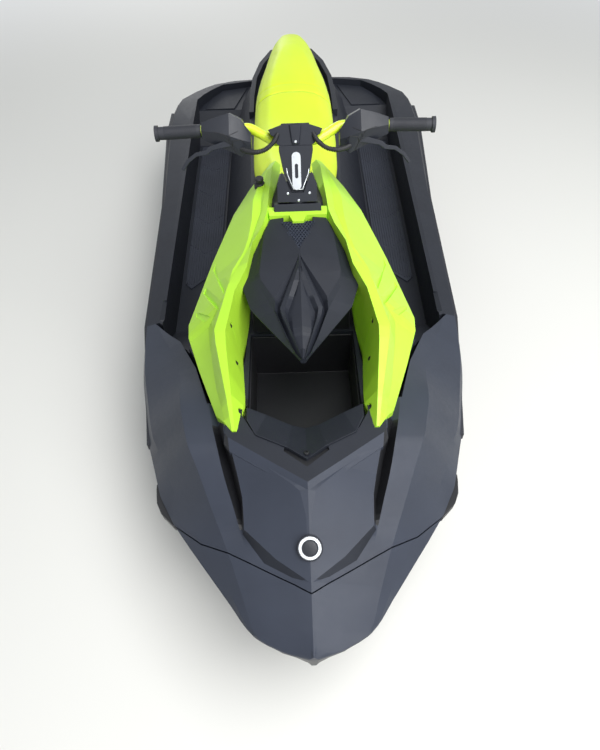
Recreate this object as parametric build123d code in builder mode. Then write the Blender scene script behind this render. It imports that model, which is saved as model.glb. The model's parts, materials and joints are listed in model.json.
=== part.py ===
from build123d import *
import math
import os

os.makedirs("parts", exist_ok=True)

# Personal watercraft for two, jet drive. Millimetres, +Z up, bow towards -Y, port towards +X.
# Places along the boat are distances aft of the bow tip, which aft() turns into Y.

# Driving dimensions
BEAM = 1180  # over the rub rails
DRAWN_BEAM = 1180  # beam that the tables of hull and deck lines are drawn for
RAIL_OUT = 5  # how far the rub rail stands out of the deck edge
RAIL_IN = 18  # how far in it starts before hull and deck are cut out of it
RAIL_HIGH = 28
RAIL_START = 600
RAIL_STOP = 100  # ahead of the transom
BOND = 395  # height of the flat part of the hull-to-deck joint
KNUCKLE_IN = 0.97  # half width at the side's knuckle, of that at the deck edge
KNUCKLE_DOWN = 0.3  # its depth, of the side's height
STRAKE = 0.06  # width of a lifting strake, as a share of the way from keel to chine
STRAKE_IN = 0.45  # its place, as a share of the same
FIT = 0.3  # gap between seated pieces whose faces aren't flat
RUN = 6  # gap between pieces that move past each other

TRANSOM = 2650  # aft face of the hull
DECK_END = TRANSOM + 95  # back edge of the boarding platform
BUCKET_PIVOT = TRANSOM - 55
BUCKET_REACH = 195  # from the pivot to the back of the stowed bucket
LENGTH = BUCKET_PIVOT + BUCKET_REACH  # bow tip to the back of the bucket

FLOOR = 300  # footwell floor
SKIN = 30  # moulding under the footwell floor
WELL_OUTER = 455  # half width to the gunwale's inner wall
TRAY_HALF = WELL_OUTER + 7  # the deck moulding drops into the hull inside this
TRAY_START = 1005
TRAY_END = TRANSOM - 20
WELL_SLOPE_TOP = 880
WELL_SLOPE_TOP_HIGH = 500
WELL_FRONT = 1150
WELL_BACK = TRANSOM - 290
PLATFORM = 400  # height of the boarding platform
PLATFORM_START = TRANSOM - 150
PEDESTAL_TOP = 606

PUMP_AXIS = 150  # height of the shaft line
BORE_R = 70  # jet pump bore
PUMP_R = 84
PUMP_START = TRANSOM - 320
PUMP_LONG = 190
TUNNEL_HALF = 125
TUNNEL_TOP = PUMP_AXIS + 135
DUCT_BEND = PUMP_START - 100  # where the duct turns down from the shaft line
DUCT_SLOPE = 38
DUCT_SIDES = 12
SHAFT_R = 13
SHAFT_GAP = 3
HUB_R = 26
IMPELLER_START = 40  # behind the housing's front face
IMPELLER_LONG = 100
BLADES = 3
BLADE = 4
BLADE_TIP = BORE_R - 0.5
BLADE_TURN = 87  # twist of a blade from its front edge to its back edge
BLADE_STEPS = 3
VANES = 6
VENTURI_R = 48  # outside of the outlet
VENTURI_WALL = 5
VENTURI_RIM = 30  # straight rim behind the housing
NOZZLE_GAP = 12  # between the outlet and the steering nozzle round it
NOZZLE_WALL = 5
NOZZLE_PIVOT = TRANSOM - 5
NOZZLE_BACK = TRANSOM + 85
NOZZLE_END_R = 44
NOZZLE_FLAT = 12  # half width of the flat round each pin
PIN_R = 5
PIN_GAP = 0.4
BUCKET_HALF = 100
BUCKET_WALL = 6
BUCKET_LOW_ANGLE = 20
BUCKET_HIGH_ANGLE = 62
PLATE = 10  # ride plate
PLATE_LOW = 20

ENGINE_WIDE = 300
ENGINE_LONG = 390
ENGINE_HIGH = 340
ENGINE_ROOM = 20
ENGINE_START = 1480
ENGINE_LOW = 75

SEAT_START = 1400
SEAT_LONG = 1105

TUB_HALF = 150
TUB_START = 530
TUB_END = 860
TUB_LOW = BOND + 22
TUB_HIGH = 178
TUB_WALL = 5
CONSOLE_START = TUB_END + 10
CONSOLE_FOOT = 604

COLUMN_TILT = 30  # lean of the steering column, aft at the top
COLUMN_AFT = 1102
COLUMN_LOW = 850
FOOT_WIDE = 132
FOOT_DEEP = 60
FOOT_HIGH = 26
COLUMN_LOW_WIDE = 112
COLUMN_TOP_WIDE = 96
COLUMN_BEARING = 4
COLUMN_BEARING_R = 26
POST_WIDE = 26
POST_TOP = 168
RISER_LOW = 92
RISER_ROOF = POST_TOP + RUN
RISER_TOP = 234
RISER_DEEP = 22
BAR_R = 13
BEND_ROOM = 4.5  # extra width of the way that the bar's bends pass through
BAR_LOW = 190  # height of the bar's middle above the foot, along the column
GRIP_R = 17
GRIP_END = 384  # half the width over the grips
GRIP_FLANGE = 4
GRIP_FLANGE_LONG = 9
GRIP_START = 259
CONDUIT_R = 6.8
EYE_BORE = 9
EYE_RIM = 13
EYE_THICK = 12
MAT = 5


def aft(distance):
    """Y of a place that lies this far behind the bow tip."""
    return distance - LENGTH / 2


def wide(x):
    """Half width of a hull or deck line at the boat's real beam."""
    return x * BEAM / DRAWN_BEAM


def both_sides(corners):
    """Port corners (x, other), followed by those of starboard."""
    return list(corners) + [(-x, other) for x, other in reversed(corners) if x > 0]


def ring(distance, corners):
    """Corners across the boat, from the (x, z) pairs of the port half."""
    return [Vector(x, aft(distance), z) for x, z in both_sides(corners)]


def panel(corners):
    """Flat face through corners in space."""
    return Face(Wire.make_polygon(corners, close=True))


def skinned(rings):
    """Solid with flat facets through rings of equally many corners, closed by its end rings."""
    facets = [panel(rings[0]), panel(rings[-1])]
    for near, far in zip(rings, rings[1:]):
        middle = sum(near + far, Vector()) / (2 * len(near))
        count = len(near)
        for i in range(count):
            a, b, c, d = near[i], near[(i + 1) % count], far[(i + 1) % count], far[i]
            # the fuller of the two ways to fold the strip
            if ((a + c) / 2 - middle).length > ((b + d) / 2 - middle).length:
                halves = ((a, b, c), (a, c, d))
            else:
                halves = ((a, b, d), (b, c, d))
            for half in halves:
                if (half[1] - half[0]).cross(half[2] - half[0]).length > 1e-3:
                    facets.append(panel(half))
    return Solid(Shell(facets))


def side_panel(distance):
    """Deck edge and knuckle of the hull's side panel here: half width and height of each."""
    for near, far in zip(HULL_STATIONS, HULL_STATIONS[1:]):
        if near[0] <= distance <= far[0]:
            share = (distance - near[0]) / (far[0] - near[0])
            ends = []
            for _, edge, joint, _, chine_z, *_ in (near, far):
                ends.append((edge, joint, KNUCKLE_IN * edge, joint - KNUCKLE_DOWN * (joint - chine_z)))
            return [a + share * (b - a) for a, b in zip(*ends)]


def plan(height, corners):
    """Face seen from above at this height, from its corners (x, distance aft)."""
    with BuildSketch(Plane.XY.offset(height)) as outline:
        with BuildLine():
            Polyline(*[(x, aft(s)) for x, s in corners], close=True)
        make_face()
    return outline.sketch


def other_side(piece):
    """The same piece on the other side of the boat."""
    return mirror(piece.part, about=Plane.YZ, mode=Mode.PRIVATE)


def finish(piece, name):
    """Labels a piece and writes it."""
    piece.part.label = name
    export_step(piece.part, f"parts/{name}.step")


# Lines of the hull: aft, half beam, joint height, chine half width and height, keel half width and height
HULL_STATIONS = [
    (0, 12, 478, 9, 462, 5, 425),
    (20, 72, 470, 50, 436, 10, 392),
    (57, 137, 466, 98, 400, 16, 345),
    (135, 198, 462, 150, 350, 24, 270),
    (277, 304, 450, 243, 285, 45, 125),
    (346, 353, 442, 281, 262, 60, 76),
    (440, 404, 428, 324, 235, 80, 25),
    (615, 462, BOND, 388, 205, 120, 0),
    (1080, 530, BOND, 455, 175, 120, 0),
    (1740, 546, BOND, 470, 160, 120, 0),
    (TRANSOM - 350, 585, BOND, 480, 155, 120, 0),
    (TRANSOM - 180, 581, BOND, 470, 155, 120, 0),
    (TRANSOM - 80, 545, BOND, 455, 155, 120, 0),
    (TRANSOM, 485, BOND, 430, 155, 120, 0),
]

# Lines of the bow's top: aft, then (x, z) of deck edge, band, outer crease, channel outer edge,
# channel floor, centre panel edge, ridge shoulder and ridge
BOW_STATIONS = [
    (0, (12, 478), (10, 482), (8, 486), (6, 490), (4, 494), (3, 497), (2, 499), (0, 500)),
    (20, (72, 470), (71, 473), (69, 476), (44, 486), (8, 504), (6, 505), (3, 507), (0, 507)),
    (57, (137, 466), (135, 470), (132, 475), (84, 494), (9, 515), (7, 517), (4, 518), (0, 519)),
    (135, (198, 462), (184, 479), (161, 495), (114, 510), (10, 538), (7, 540), (5, 541), (0, 541)),
    (165, (220, 459.6), (197, 480), (172, 500), (126, 515), (34, 544), (26, 552), (5, 557), (0, 558)),
    (205, (250, 456.2), (220, 481), (186, 507), (143, 521), (92, 538), (81, 552), (6, 576), (0, 577)),
    (277, (304, 450), (268, 482), (214, 520), (166, 530), (161, 536), (156, 560), (6, 616), (0, 617)),
    (346, (353, 442), (318, 480), (243, 556), (188, 572), (168, 544), (160, 588), (22, 652), (0, 656)),
    (391, (378, 435.5), (340, 477), (261, 571), (203, 586), (182, 554), (170, 602), (90, 649), (0, 654)),
    (440, (404, 428), (362, 474), (281, 586), (217, 598), (194, 563), (180, 622), (163, 646), (0, 651)),
    (500, (424, 416.9), (392, 468), (306, 601), (232, 606), (212, 574), (193, 634), (187, 638), (0, 646)),
    (545, (438, 408.4), (408, 464), (318, 601), (243, 610), (228, 604), (198, 630), (190, 634), (0, 638)),
    (615, (462, BOND), (440, 458), (335, 596), (255, 610), (240, 606), (205, 622), (195, 624), (0, 626)),
    (750, (490, BOND), (472, 452), (356, 545), (262, 600), (240, 604), (205, 612), (195, 614), (0, 616)),
    (880, (514, BOND), (498, 450), (400, 500), (300, 560), (240, 588), (205, 600), (195, 602), (0, 604)),
    (1060, (529, BOND), (513, 449), (470, 464), (300, 450), (235, 500), (205, 560), (195, 590), (0, 600)),
    (1150, (532, BOND), (516, 449), (468, 466), (320, 400), (280, 420), (215, 540), (180, 590), (0, 600)),
]

# Gunwales: aft, then (x, z) of deck edge, outer top and inner top
STERN_STATIONS = [
    (1150, (532, BOND), (516, 449), (468, 466)),
    (1740, (546, BOND), (530, 449), (470, 468)),
    (TRANSOM - 350, (585, BOND), (558, 449), (474, 468)),
    (TRANSOM - 180, (581, BOND), (550, 445), (462, 462)),
    (TRANSOM - 110, (562, BOND), (533, 441), (448, 452)),
    (TRANSOM - 25, (498, BOND), (474, 432), (412, 440)),
    (TRANSOM + 21, (452, BOND), (430, 428), (380, 434)),
    (TRANSOM + 57, (404, BOND), (386, 425), (345, 430)),
    (TRANSOM + 81, (329, BOND), (316, 423), (290, 427)),
    (DECK_END, (217, BOND), (208, 421), (196, 424)),
]

# Seat pedestal: aft, then (x, z) of its foot, lower bend, upper bend and top edge
PEDESTAL_STATIONS = [
    (1140, (262, FLOOR), (250, 372), (180, 570), (160, PEDESTAL_TOP - 6)),
    (1500, (300, FLOOR), (285, 356), (190, 560), (162, PEDESTAL_TOP)),
    (2250, (300, FLOOR), (285, 356), (190, 560), (122, PEDESTAL_TOP)),
    (2540, (262, FLOOR), (240, 420), (160, 552), (64, PEDESTAL_TOP)),
    (2690, (196, FLOOR), (176, 430), (104, 520), (80, 540)),
]

# Framed arm, port: aft, then (x, z) of outer foot, outer edge, outer and inner side of the crest,
# inner edge and inner foot
ARM_STATIONS = [
    (500, (184, 616), (184, 638), (183, 646), (180, 648), (176, 640), (176, 620)),
    (562, (228, 586), (231, 610), (202, 694), (192, 700), (164, 600), (166, 580)),
    (612, (243, 576), (247, 614), (208, 738), (198, 745), (159, 585), (162, 560)),
    (708, (272, 580), (278, 634), (212, 778), (196, 790), (166, 600), (170, 560)),
    (818, (308, 596), (315, 664), (202, 802), (194, 814), (158, 622), (164, 580)),
    (866, (298, 620), (304, 680), (184, 823), (173, 836), (141, 680), (150, 630)),
    (965, (276, 650), (282, 714), (138, 850), (127, 862), (126, 790), (132, 740)),
    (1060, (234, 680), (240, 744), (126, 858), (86, 874), (80, 840), (96, 780)),
    (1170, (186, 710), (193, 774), (123, 866), (84, 878), (72, 852), (86, 790)),
    (1286, (138, 740), (144, 798), (104, 868), (74, 878), (50, 856), (64, 800)),
    (1325, (104, 760), (108, 822), (84, 866), (62, 872), (48, 858), (56, 810)),
]

# Beak: aft, then (x, z) of underside, edge, bevel, diamond rim, diamond groove and centre
BEAK_STATIONS = [
    (640, (3, 735), (4, 745), (3, 748), (2, 752), (1, 754), (0, 755)),
    (675, (44, 738), (50, 752), (36, 768), (14, 776), (11, 773), (0, 782)),
    (727, (88, 742), (100, 762), (66, 790), (32, 800), (28, 795), (0, 808)),
    (790, (118, 752), (132, 780), (72, 818), (52, 824), (46, 818), (0, 834)),
    (863, (138, 770), (153, 795), (98, 836), (54, 840), (48, 834), (0, 852)),
    (925, (124, 782), (142, 808), (108, 846), (28, 852), (24, 846), (0, 858)),
    (985, (100, 796), (122, 824), (98, 856), (3, 862), (2, 861), (0, 862)),
    (1062, (60, 826), (76, 850), (60, 864), (3, 868), (2, 868), (0, 868)),
]

# Console core: aft, then (x, z) of foot, waist and top edge
CONSOLE_STATIONS = [
    (CONSOLE_START, (140, CONSOLE_FOOT), (135, 690), (100, 742)),
    (966, (150, CONSOLE_FOOT), (135, 720), (90, 800)),
    (1062, (150, CONSOLE_FOOT), (130, 740), (72, 832)),
    (1150, (150, CONSOLE_FOOT), (130, 760), (74, 846)),
    (1330, (130, CONSOLE_FOOT), (120, 740), (84, 800)),
    (SEAT_START - RUN, (120, CONSOLE_FOOT), (110, 720), (80, 780)),
]

# Seat: share of its length, then (x, z over the pedestal) of foot, widest edge, shoulder and crown
SEAT_STATIONS = [
    (0, (100, 0), (118, 94), (80, 164), (0, 170)),
    (0.16, (130, 0), (150, 84), (100, 132), (0, 139)),
    (0.32, (132, 0), (154, 79), (105, 122), (0, 129)),
    (0.51, (130, 0), (152, 84), (100, 142), (0, 150)),
    (0.63, (118, 0), (140, 94), (85, 158), (0, 166)),
    (0.77, (88, 0), (112, 104), (60, 166), (0, 174)),
    (0.9, (62, 0), (86, 109), (44, 156), (0, 164)),
    (1, (26, 0), (46, 109), (22, 136), (0, 139)),
]

# Seams seen from above, port side (x, aft): nose to hood, and hood to deck
NOSE_SEAM = [(0, 127), (197, 238), (272, 277), (355, 346), (700, 346)]
HOOD_SEAM = [(248, 615), (296, 768), (369, 931), (469, 1049), (700, 1049)]
HOOD_BACK = HOOD_SEAM[0][1]  # back edge across the locker
BOW_BACK = BOW_STATIONS[-1][0]

SHAFT_LINE = Plane(origin=(0, aft(PUMP_START), PUMP_AXIS), x_dir=(1, 0, 0), z_dir=(0, 1, 0))
slope = math.radians(DUCT_SLOPE)
DOWN_DUCT = Vector(0, -math.cos(slope), -math.sin(slope))

with BuildPart() as duct:
    # water way from the slot in the keel to the pump bore
    with BuildSketch(SHAFT_LINE):
        Circle(BORE_R)
    extrude(amount=DUCT_BEND - PUMP_START)
    with BuildSketch(SHAFT_LINE.offset(DUCT_BEND - PUMP_START)):
        RegularPolygon(BORE_R, DUCT_SIDES, major_radius=False)
    extrude(amount=(PUMP_AXIS + BORE_R + 20) / math.sin(slope), dir=DOWN_DUCT)

with BuildPart() as engine_room:
    with Locations((0, aft(ENGINE_START + ENGINE_LONG / 2), ENGINE_LOW)):
        Box(
            ENGINE_WIDE + 2 * ENGINE_ROOM,
            ENGINE_LONG + 2 * ENGINE_ROOM,
            ENGINE_HIGH + ENGINE_ROOM,
            align=(Align.CENTER, Align.CENTER, Align.MIN),
        )

with BuildPart() as tray:
    # what the deck moulding fills inside the hull
    extrude(
        plan(FLOOR - SKIN, both_sides([(TRAY_HALF, TRAY_START), (TRAY_HALF, TRAY_END)])),
        amount=BOND - FLOOR + SKIN,
    )

hull_rings = []
for s, edge, joint, chine, chine_z, keel, low in HULL_STATIONS:
    flat = STRAKE * (chine - keel)
    inner = keel + STRAKE_IN * (chine - keel)
    inner_z = low + STRAKE_IN * (chine_z - low)
    half = [
        (keel, low),
        (inner, inner_z),
        (inner + flat, inner_z + 0.2 * flat),
        (chine, chine_z),
        (chine + flat, chine_z + 0.5 * flat),
        (KNUCKLE_IN * edge, joint - KNUCKLE_DOWN * (joint - chine_z)),
        (edge, joint),
    ]
    hull_rings.append(ring(s, [(wide(x), z) for x, z in half]))

with BuildPart() as hull:
    add(skinned(hull_rings))
    add(tray.part, mode=Mode.SUBTRACT)
    add(engine_room.part, mode=Mode.SUBTRACT)
    # pump tunnel, open below and behind
    with Locations((0, aft(PUMP_START), -1)):
        Box(
            2 * TUNNEL_HALF,
            TRANSOM - PUMP_START + 1,
            TUNNEL_TOP + 1,
            align=(Align.CENTER, Align.MIN, Align.MIN),
            mode=Mode.SUBTRACT,
        )
    add(duct.part, mode=Mode.SUBTRACT)
    # shaft bore between engine room and duct
    with BuildSketch(SHAFT_LINE):
        Circle(SHAFT_R + SHAFT_GAP)
    extrude(amount=-(PUMP_START - ENGINE_START - ENGINE_LONG), mode=Mode.SUBTRACT)

with BuildPart() as arm_port:
    add(skinned([[Vector(x, aft(s), z) for x, z in corners] for s, *corners in ARM_STATIONS]))

with BuildPart() as arm_starboard:
    add(other_side(arm_port))

with BuildPart() as bow:
    add(skinned([ring(s, [(wide(x), z) for x, z in corners]) for s, *corners in BOW_STATIONS]))

with BuildPart() as tub_room:
    with Locations((0, aft((TUB_START + TUB_END) / 2), TUB_LOW)):
        Box(2 * TUB_HALF, TUB_END - TUB_START, LENGTH, align=(Align.CENTER, Align.CENTER, Align.MIN))

with BuildPart() as bow_tub:
    with Locations((0, aft((TUB_START + TUB_END) / 2), TUB_LOW)):
        Box(2 * TUB_HALF, TUB_END - TUB_START, TUB_HIGH, align=(Align.CENTER, Align.CENTER, Align.MIN))
    with Locations((0, aft((TUB_START + TUB_END) / 2), TUB_LOW + TUB_WALL)):
        Box(
            2 * (TUB_HALF - TUB_WALL),
            TUB_END - TUB_START - 2 * TUB_WALL,
            TUB_HIGH,
            align=(Align.CENTER, Align.CENTER, Align.MIN),
            mode=Mode.SUBTRACT,
        )
    add(arm_port.part, mode=Mode.SUBTRACT)
    add(arm_starboard.part, mode=Mode.SUBTRACT)

VENT = [(0, 972), (32, 1063)]
VENT_LOW = 844
VENT_THICK = 3
VENT_CELL = 5.4
VENT_HOLE = 4.2
with BuildPart() as beak:
    add(skinned([ring(s, corners) for s, *corners in BEAK_STATIONS]))
    add(arm_port.part, mode=Mode.SUBTRACT)
    add(arm_starboard.part, mode=Mode.SUBTRACT)
    extrude(plan(VENT_LOW, both_sides(VENT)), amount=LENGTH, mode=Mode.SUBTRACT)

with BuildPart() as beak_vent:
    extrude(plan(VENT_LOW, both_sides(VENT)), amount=VENT_THICK)
    with BuildSketch(Plane.XY.offset(VENT_LOW)):
        with Locations((0, aft((VENT[0][1] + 2 * VENT[1][1]) / 3))):
            with HexLocations(VENT_CELL, 6, 7):
                RegularPolygon(VENT_HOLE, 6)
    extrude(amount=VENT_THICK, mode=Mode.SUBTRACT)

lean = math.radians(COLUMN_TILT)
COLUMN = Plane(
    origin=(0, aft(COLUMN_AFT), COLUMN_LOW),
    x_dir=(1, 0, 0),
    z_dir=(0, math.sin(lean), math.cos(lean)),
)
FRONT_FACE = Plane(COLUMN.origin, x_dir=(1, 0, 0), z_dir=-COLUMN.y_dir)

with BuildPart() as steering_foot:
    with BuildSketch(COLUMN):
        Rectangle(FOOT_WIDE, FOOT_DEEP)
    extrude(amount=FOOT_HIGH)

with BuildPart() as foot_room:
    with BuildSketch(COLUMN.offset(-FOOT_DEEP)):
        Rectangle(FOOT_WIDE + 2 * FIT, FOOT_DEEP + 2 * FIT)
    extrude(amount=FOOT_DEEP + FOOT_HIGH)

with BuildPart() as console:
    add(skinned([ring(s, corners) for s, *corners in CONSOLE_STATIONS]))
    add(arm_port.part, mode=Mode.SUBTRACT)
    add(arm_starboard.part, mode=Mode.SUBTRACT)
    add(beak.part, mode=Mode.SUBTRACT)
    with BuildSketch(COLUMN):
        Rectangle(FOOT_WIDE + 2 * FIT, FOOT_DEEP + 2 * FIT)
    extrude(amount=FOOT_HIGH, mode=Mode.SUBTRACT)

BRIDGE = [(0, 1036), (15, 1036), (24, 1063), (80, 1063), (86, 1100), (0, 1100)]
BRIDGE_LOW = 848
BRIDGE_HIGH = 22
with BuildPart() as exo_bridge:
    extrude(plan(BRIDGE_LOW, both_sides(BRIDGE)), amount=BRIDGE_HIGH)
    add(arm_port.part, mode=Mode.SUBTRACT)
    add(arm_starboard.part, mode=Mode.SUBTRACT)
    with BuildSketch(COLUMN.offset(-FOOT_DEEP)):
        Rectangle(FOOT_WIDE + 2 * FIT, FOOT_DEEP + 2 * FIT)
    extrude(amount=FOOT_DEEP + 2 * FOOT_HIGH, mode=Mode.SUBTRACT)
    add(beak.part, mode=Mode.SUBTRACT)
    add(beak_vent.part, mode=Mode.SUBTRACT)
    add(console.part, mode=Mode.SUBTRACT)

# Cover over the locker's front lip, sloping down into the locker
LIP = [(0, 427), (46, 463), (131, 498), (158, 546), (156, 594), (77, 553), (0, 534)]
LIP_LOW = 598
LIP_FRONT_HIGH = 654
LIP_BACK_HIGH = 612
LIP_BACK = 556
with BuildPart() as lip_cover:
    extrude(plan(LIP_LOW, both_sides(LIP)), amount=LIP_FRONT_HIGH - LIP_LOW)
    with BuildSketch(Plane.YZ):
        with BuildLine():
            Polyline(
                (aft(LIP[0][1]), LIP_FRONT_HIGH),
                (aft(LIP_BACK), LIP_BACK_HIGH),
                (aft(TUB_END), LIP_BACK_HIGH),
                (aft(TUB_END), LENGTH),
                (aft(LIP[0][1]), LENGTH),
                close=True,
            )
        make_face()
    extrude(amount=BEAM, both=True, mode=Mode.SUBTRACT)
    add(arm_port.part, mode=Mode.SUBTRACT)
    add(arm_starboard.part, mode=Mode.SUBTRACT)

# Front bumper corners: aft, and how far they stand out of the deck edge
BUMPER_STATIONS = [(350, 3), (388, 20), (420, 18), (466, 7), (482, 3)]
BUMPER_ROOT = 10  # how far it reaches in before the hull is cut out of it
BUMPER_HIGH = 32
BUMPER_BEVEL = 4
bumper_rings = []
for s, out in BUMPER_STATIONS:
    edge, joint, knuckle, knuckle_z = side_panel(s)
    corners = [
        (wide(edge) - BUMPER_ROOT, joint - BUMPER_BEVEL),
        (wide(edge) + out, joint - 2 * BUMPER_BEVEL),
        (wide(edge) + out - BUMPER_BEVEL / 2, joint - 2 * BUMPER_BEVEL - BUMPER_HIGH),
        (wide(knuckle) - BUMPER_ROOT, knuckle_z + BUMPER_BEVEL),
    ]
    bumper_rings.append([Vector(x, aft(s), z) for x, z in corners])
with BuildPart() as front_bumpers:
    add(skinned(bumper_rings))
    add(hull.part, mode=Mode.SUBTRACT)
    add(other_side(front_bumpers))

with BuildPart() as nose_panel:
    add(bow.part)
    front = [(wide(x), s) for x, s in NOSE_SEAM]
    ahead = [(0, -RUN), (BEAM, -RUN)]
    extrude(plan(0, both_sides(ahead + list(reversed(front)))), amount=LENGTH, mode=Mode.INTERSECT)

with BuildPart() as hood:
    add(bow.part)
    back = [(wide(x), s) for x, s in HOOD_SEAM]
    between = front + list(reversed(back)) + [(0, HOOD_BACK)]
    extrude(plan(0, both_sides(between)), amount=LENGTH, mode=Mode.INTERSECT)
    add(tub_room.part, mode=Mode.SUBTRACT)
    extrude(plan(LIP_LOW, both_sides(LIP)), amount=LENGTH, mode=Mode.SUBTRACT)
    add(arm_port.part, mode=Mode.SUBTRACT)
    add(arm_starboard.part, mode=Mode.SUBTRACT)

# Inside of the boarding platform's rim, port side: x, aft of the platform's front edge
PLATFORM_RIM = [(WELL_OUTER, 0), (430, 65), (392, 130), (345, 188), (215, 220)]
CONSOLE_BOX = [(200, 620), (200, 1180)]  # box that carries the console
with BuildPart() as deck:
    add(bow.part)
    behind = [(BEAM, BOW_BACK), (0, BOW_BACK)]
    extrude(plan(0, both_sides([(0, HOOD_BACK)] + back + behind)), amount=LENGTH, mode=Mode.INTERSECT)
    add(skinned([ring(s, [(wide(x), z) for x, z in corners]) for s, *corners in STERN_STATIONS]))
    add(tray.part)
    # footwells, with a sloped front and a ramp up to the platform
    with BuildSketch(Plane.YZ):
        with BuildLine():
            Polyline(
                (aft(WELL_FRONT), FLOOR),
                (aft(WELL_BACK), FLOOR),
                (aft(PLATFORM_START), PLATFORM),
                (aft(PLATFORM_START), 2 * WELL_SLOPE_TOP_HIGH),
                (aft(WELL_SLOPE_TOP), 2 * WELL_SLOPE_TOP_HIGH),
                (aft(WELL_SLOPE_TOP), WELL_SLOPE_TOP_HIGH),
                close=True,
            )
        make_face()
    extrude(amount=WELL_OUTER, both=True, mode=Mode.SUBTRACT)
    # boarding platform inside its rim
    extrude(
        plan(PLATFORM, both_sides([(wide(x), PLATFORM_START + step) for x, step in PLATFORM_RIM])),
        amount=LENGTH,
        mode=Mode.SUBTRACT,
    )
    add(skinned([ring(s, corners) for s, *corners in PEDESTAL_STATIONS]))
    with Locations((0, aft(TRAY_END), BOND)):
        Box(2 * BEAM, DECK_END, BOND, align=(Align.CENTER, Align.MIN, Align.MAX), mode=Mode.SUBTRACT)
    extrude(plan(BOND, both_sides(CONSOLE_BOX)), amount=CONSOLE_FOOT - BOND)
    add(tub_room.part, mode=Mode.SUBTRACT)
    for neighbour in (hood, arm_port, arm_starboard, beak, console, engine_room):
        add(neighbour.part, mode=Mode.SUBTRACT)

# Raised rim round the seat's tail, port side (x, aft) from its front end
COWL = [(186, 2110), (186, 2240), (178, 2400), (148, 2546), (98, 2668), (0, 2690)]
COWL_WALL = 20
COWL_LOW = 530
COWL_HIGH = 70
with BuildPart() as tail_cowl:
    extrude(plan(COWL_LOW, both_sides([(0, COWL[0][1])] + COWL)), amount=COWL_HIGH)
    inside = [(x - COWL_WALL, s - (COWL_WALL / 2 if s > 2500 else 0)) for x, s in COWL[1:-1]]
    mouth = [(0, COWL[0][1] - 1), (COWL[0][0] - COWL_WALL, COWL[0][1] - 1)]
    extrude(
        plan(COWL_LOW, both_sides(mouth + inside + [(0, COWL[-1][1] - COWL_WALL)])),
        amount=COWL_HIGH,
        mode=Mode.SUBTRACT,
    )
    add(deck.part, mode=Mode.SUBTRACT)

with BuildPart() as seat:
    add(
        skinned(
            [
                ring(SEAT_START + share * SEAT_LONG, [(x, PEDESTAL_TOP + FIT + up) for x, up in corners])
                for share, *corners in SEAT_STATIONS
            ]
        )
    )

MAT_OUTER = WELL_OUTER - 14
MAT_BACK = WELL_BACK - 20
MAT_OUTLINE = [
    (312, 1500),
    (340, 1450),
    (MAT_OUTER - 26, 1370),
    (MAT_OUTER - 8, 1390),
    (MAT_OUTER, 1480),
    (MAT_OUTER, MAT_BACK),
    (306, MAT_BACK),
]
with BuildPart() as mats:
    extrude(plan(FLOOR, MAT_OUTLINE), amount=MAT)
    add(deck.part, mode=Mode.SUBTRACT)
    add(other_side(mats))

PAD_START = PLATFORM_START + 6
PAD_OUTLINE = [(285, 0), (424, 0), (398, 104), (350, 170), (226, 198)]  # x, aft of the pad's front edge
with BuildPart() as step_pads:
    extrude(plan(PLATFORM, [(wide(x), PAD_START + step) for x, step in PAD_OUTLINE]), amount=MAT)
    add(deck.part, mode=Mode.SUBTRACT)
    add(other_side(step_pads))

with BuildPart() as rub_rail:
    rail = [(wide(edge), s) for s, edge, *_ in HULL_STATIONS if RAIL_START < s < TRANSOM - RAIL_STOP]
    extrude(
        plan(
            BOND - RAIL_HIGH / 2,
            [(x + RAIL_OUT, s) for x, s in rail] + [(x - RAIL_IN, s) for x, s in reversed(rail)],
        ),
        amount=RAIL_HIGH,
    )
    add(hull.part, mode=Mode.SUBTRACT)
    add(deck.part, mode=Mode.SUBTRACT)
    add(hood.part, mode=Mode.SUBTRACT)
    add(other_side(rub_rail))

BADGE_AFT = 218
BADGE_HIGH = 581
BADGE_R = 30
BADGE_THICK = 8
BADGE = Plane(origin=(0, aft(BADGE_AFT), BADGE_HIGH), x_dir=(1, 0, 0), z_dir=(0, -0.486, 0.874))
with BuildPart() as badge_disc:
    with BuildSketch(BADGE):
        Circle(BADGE_R)
    extrude(amount=BADGE_THICK)
    add(hood.part, mode=Mode.SUBTRACT)

EYE_AFT = 66
EYE_HIGH = 315
with BuildPart() as bow_eye:
    with BuildSketch(Plane.YZ):
        with Locations((aft(EYE_AFT), EYE_HIGH)):
            Circle(EYE_BORE + EYE_RIM)
            Circle(EYE_BORE, mode=Mode.SUBTRACT)
    extrude(amount=EYE_THICK / 2, both=True)
    add(hull.part, mode=Mode.SUBTRACT)

STERN_EYE_OUT = 330
STERN_EYE_HIGH = 300
STERN_EYE_BACK = 14  # behind the transom
with BuildPart() as stern_eyes:
    with BuildSketch(Plane.YZ.offset(STERN_EYE_OUT - EYE_THICK / 2)):
        with Locations((aft(TRANSOM + STERN_EYE_BACK), STERN_EYE_HIGH)):
            Circle(EYE_BORE + EYE_RIM)
            Circle(EYE_BORE, mode=Mode.SUBTRACT)
    extrude(amount=EYE_THICK)
    add(hull.part, mode=Mode.SUBTRACT)
    add(other_side(stern_eyes))

PLUG_OUT = 210
PLUG_HIGH = 95
PLUG_R = 15
PLUG_THICK = 9
with BuildPart() as drain_plugs:
    with BuildSketch(Plane.XZ.offset(-aft(TRANSOM))):
        with Locations((PLUG_OUT, PLUG_HIGH), (-PLUG_OUT, PLUG_HIGH)):
            Circle(PLUG_R)
    extrude(amount=-PLUG_THICK)

LANYARD_OUT = 122
LANYARD_AFT = 1268
LANYARD_LOW = 812
LANYARD_HIGH = 34
LANYARD_R = 10
with BuildPart() as lanyard_post:
    with BuildSketch(Plane.XY.offset(LANYARD_LOW)):
        with Locations((-LANYARD_OUT, aft(LANYARD_AFT))):
            Circle(LANYARD_R)
    extrude(amount=LANYARD_HIGH)
    add(arm_starboard.part, mode=Mode.SUBTRACT)

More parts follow.
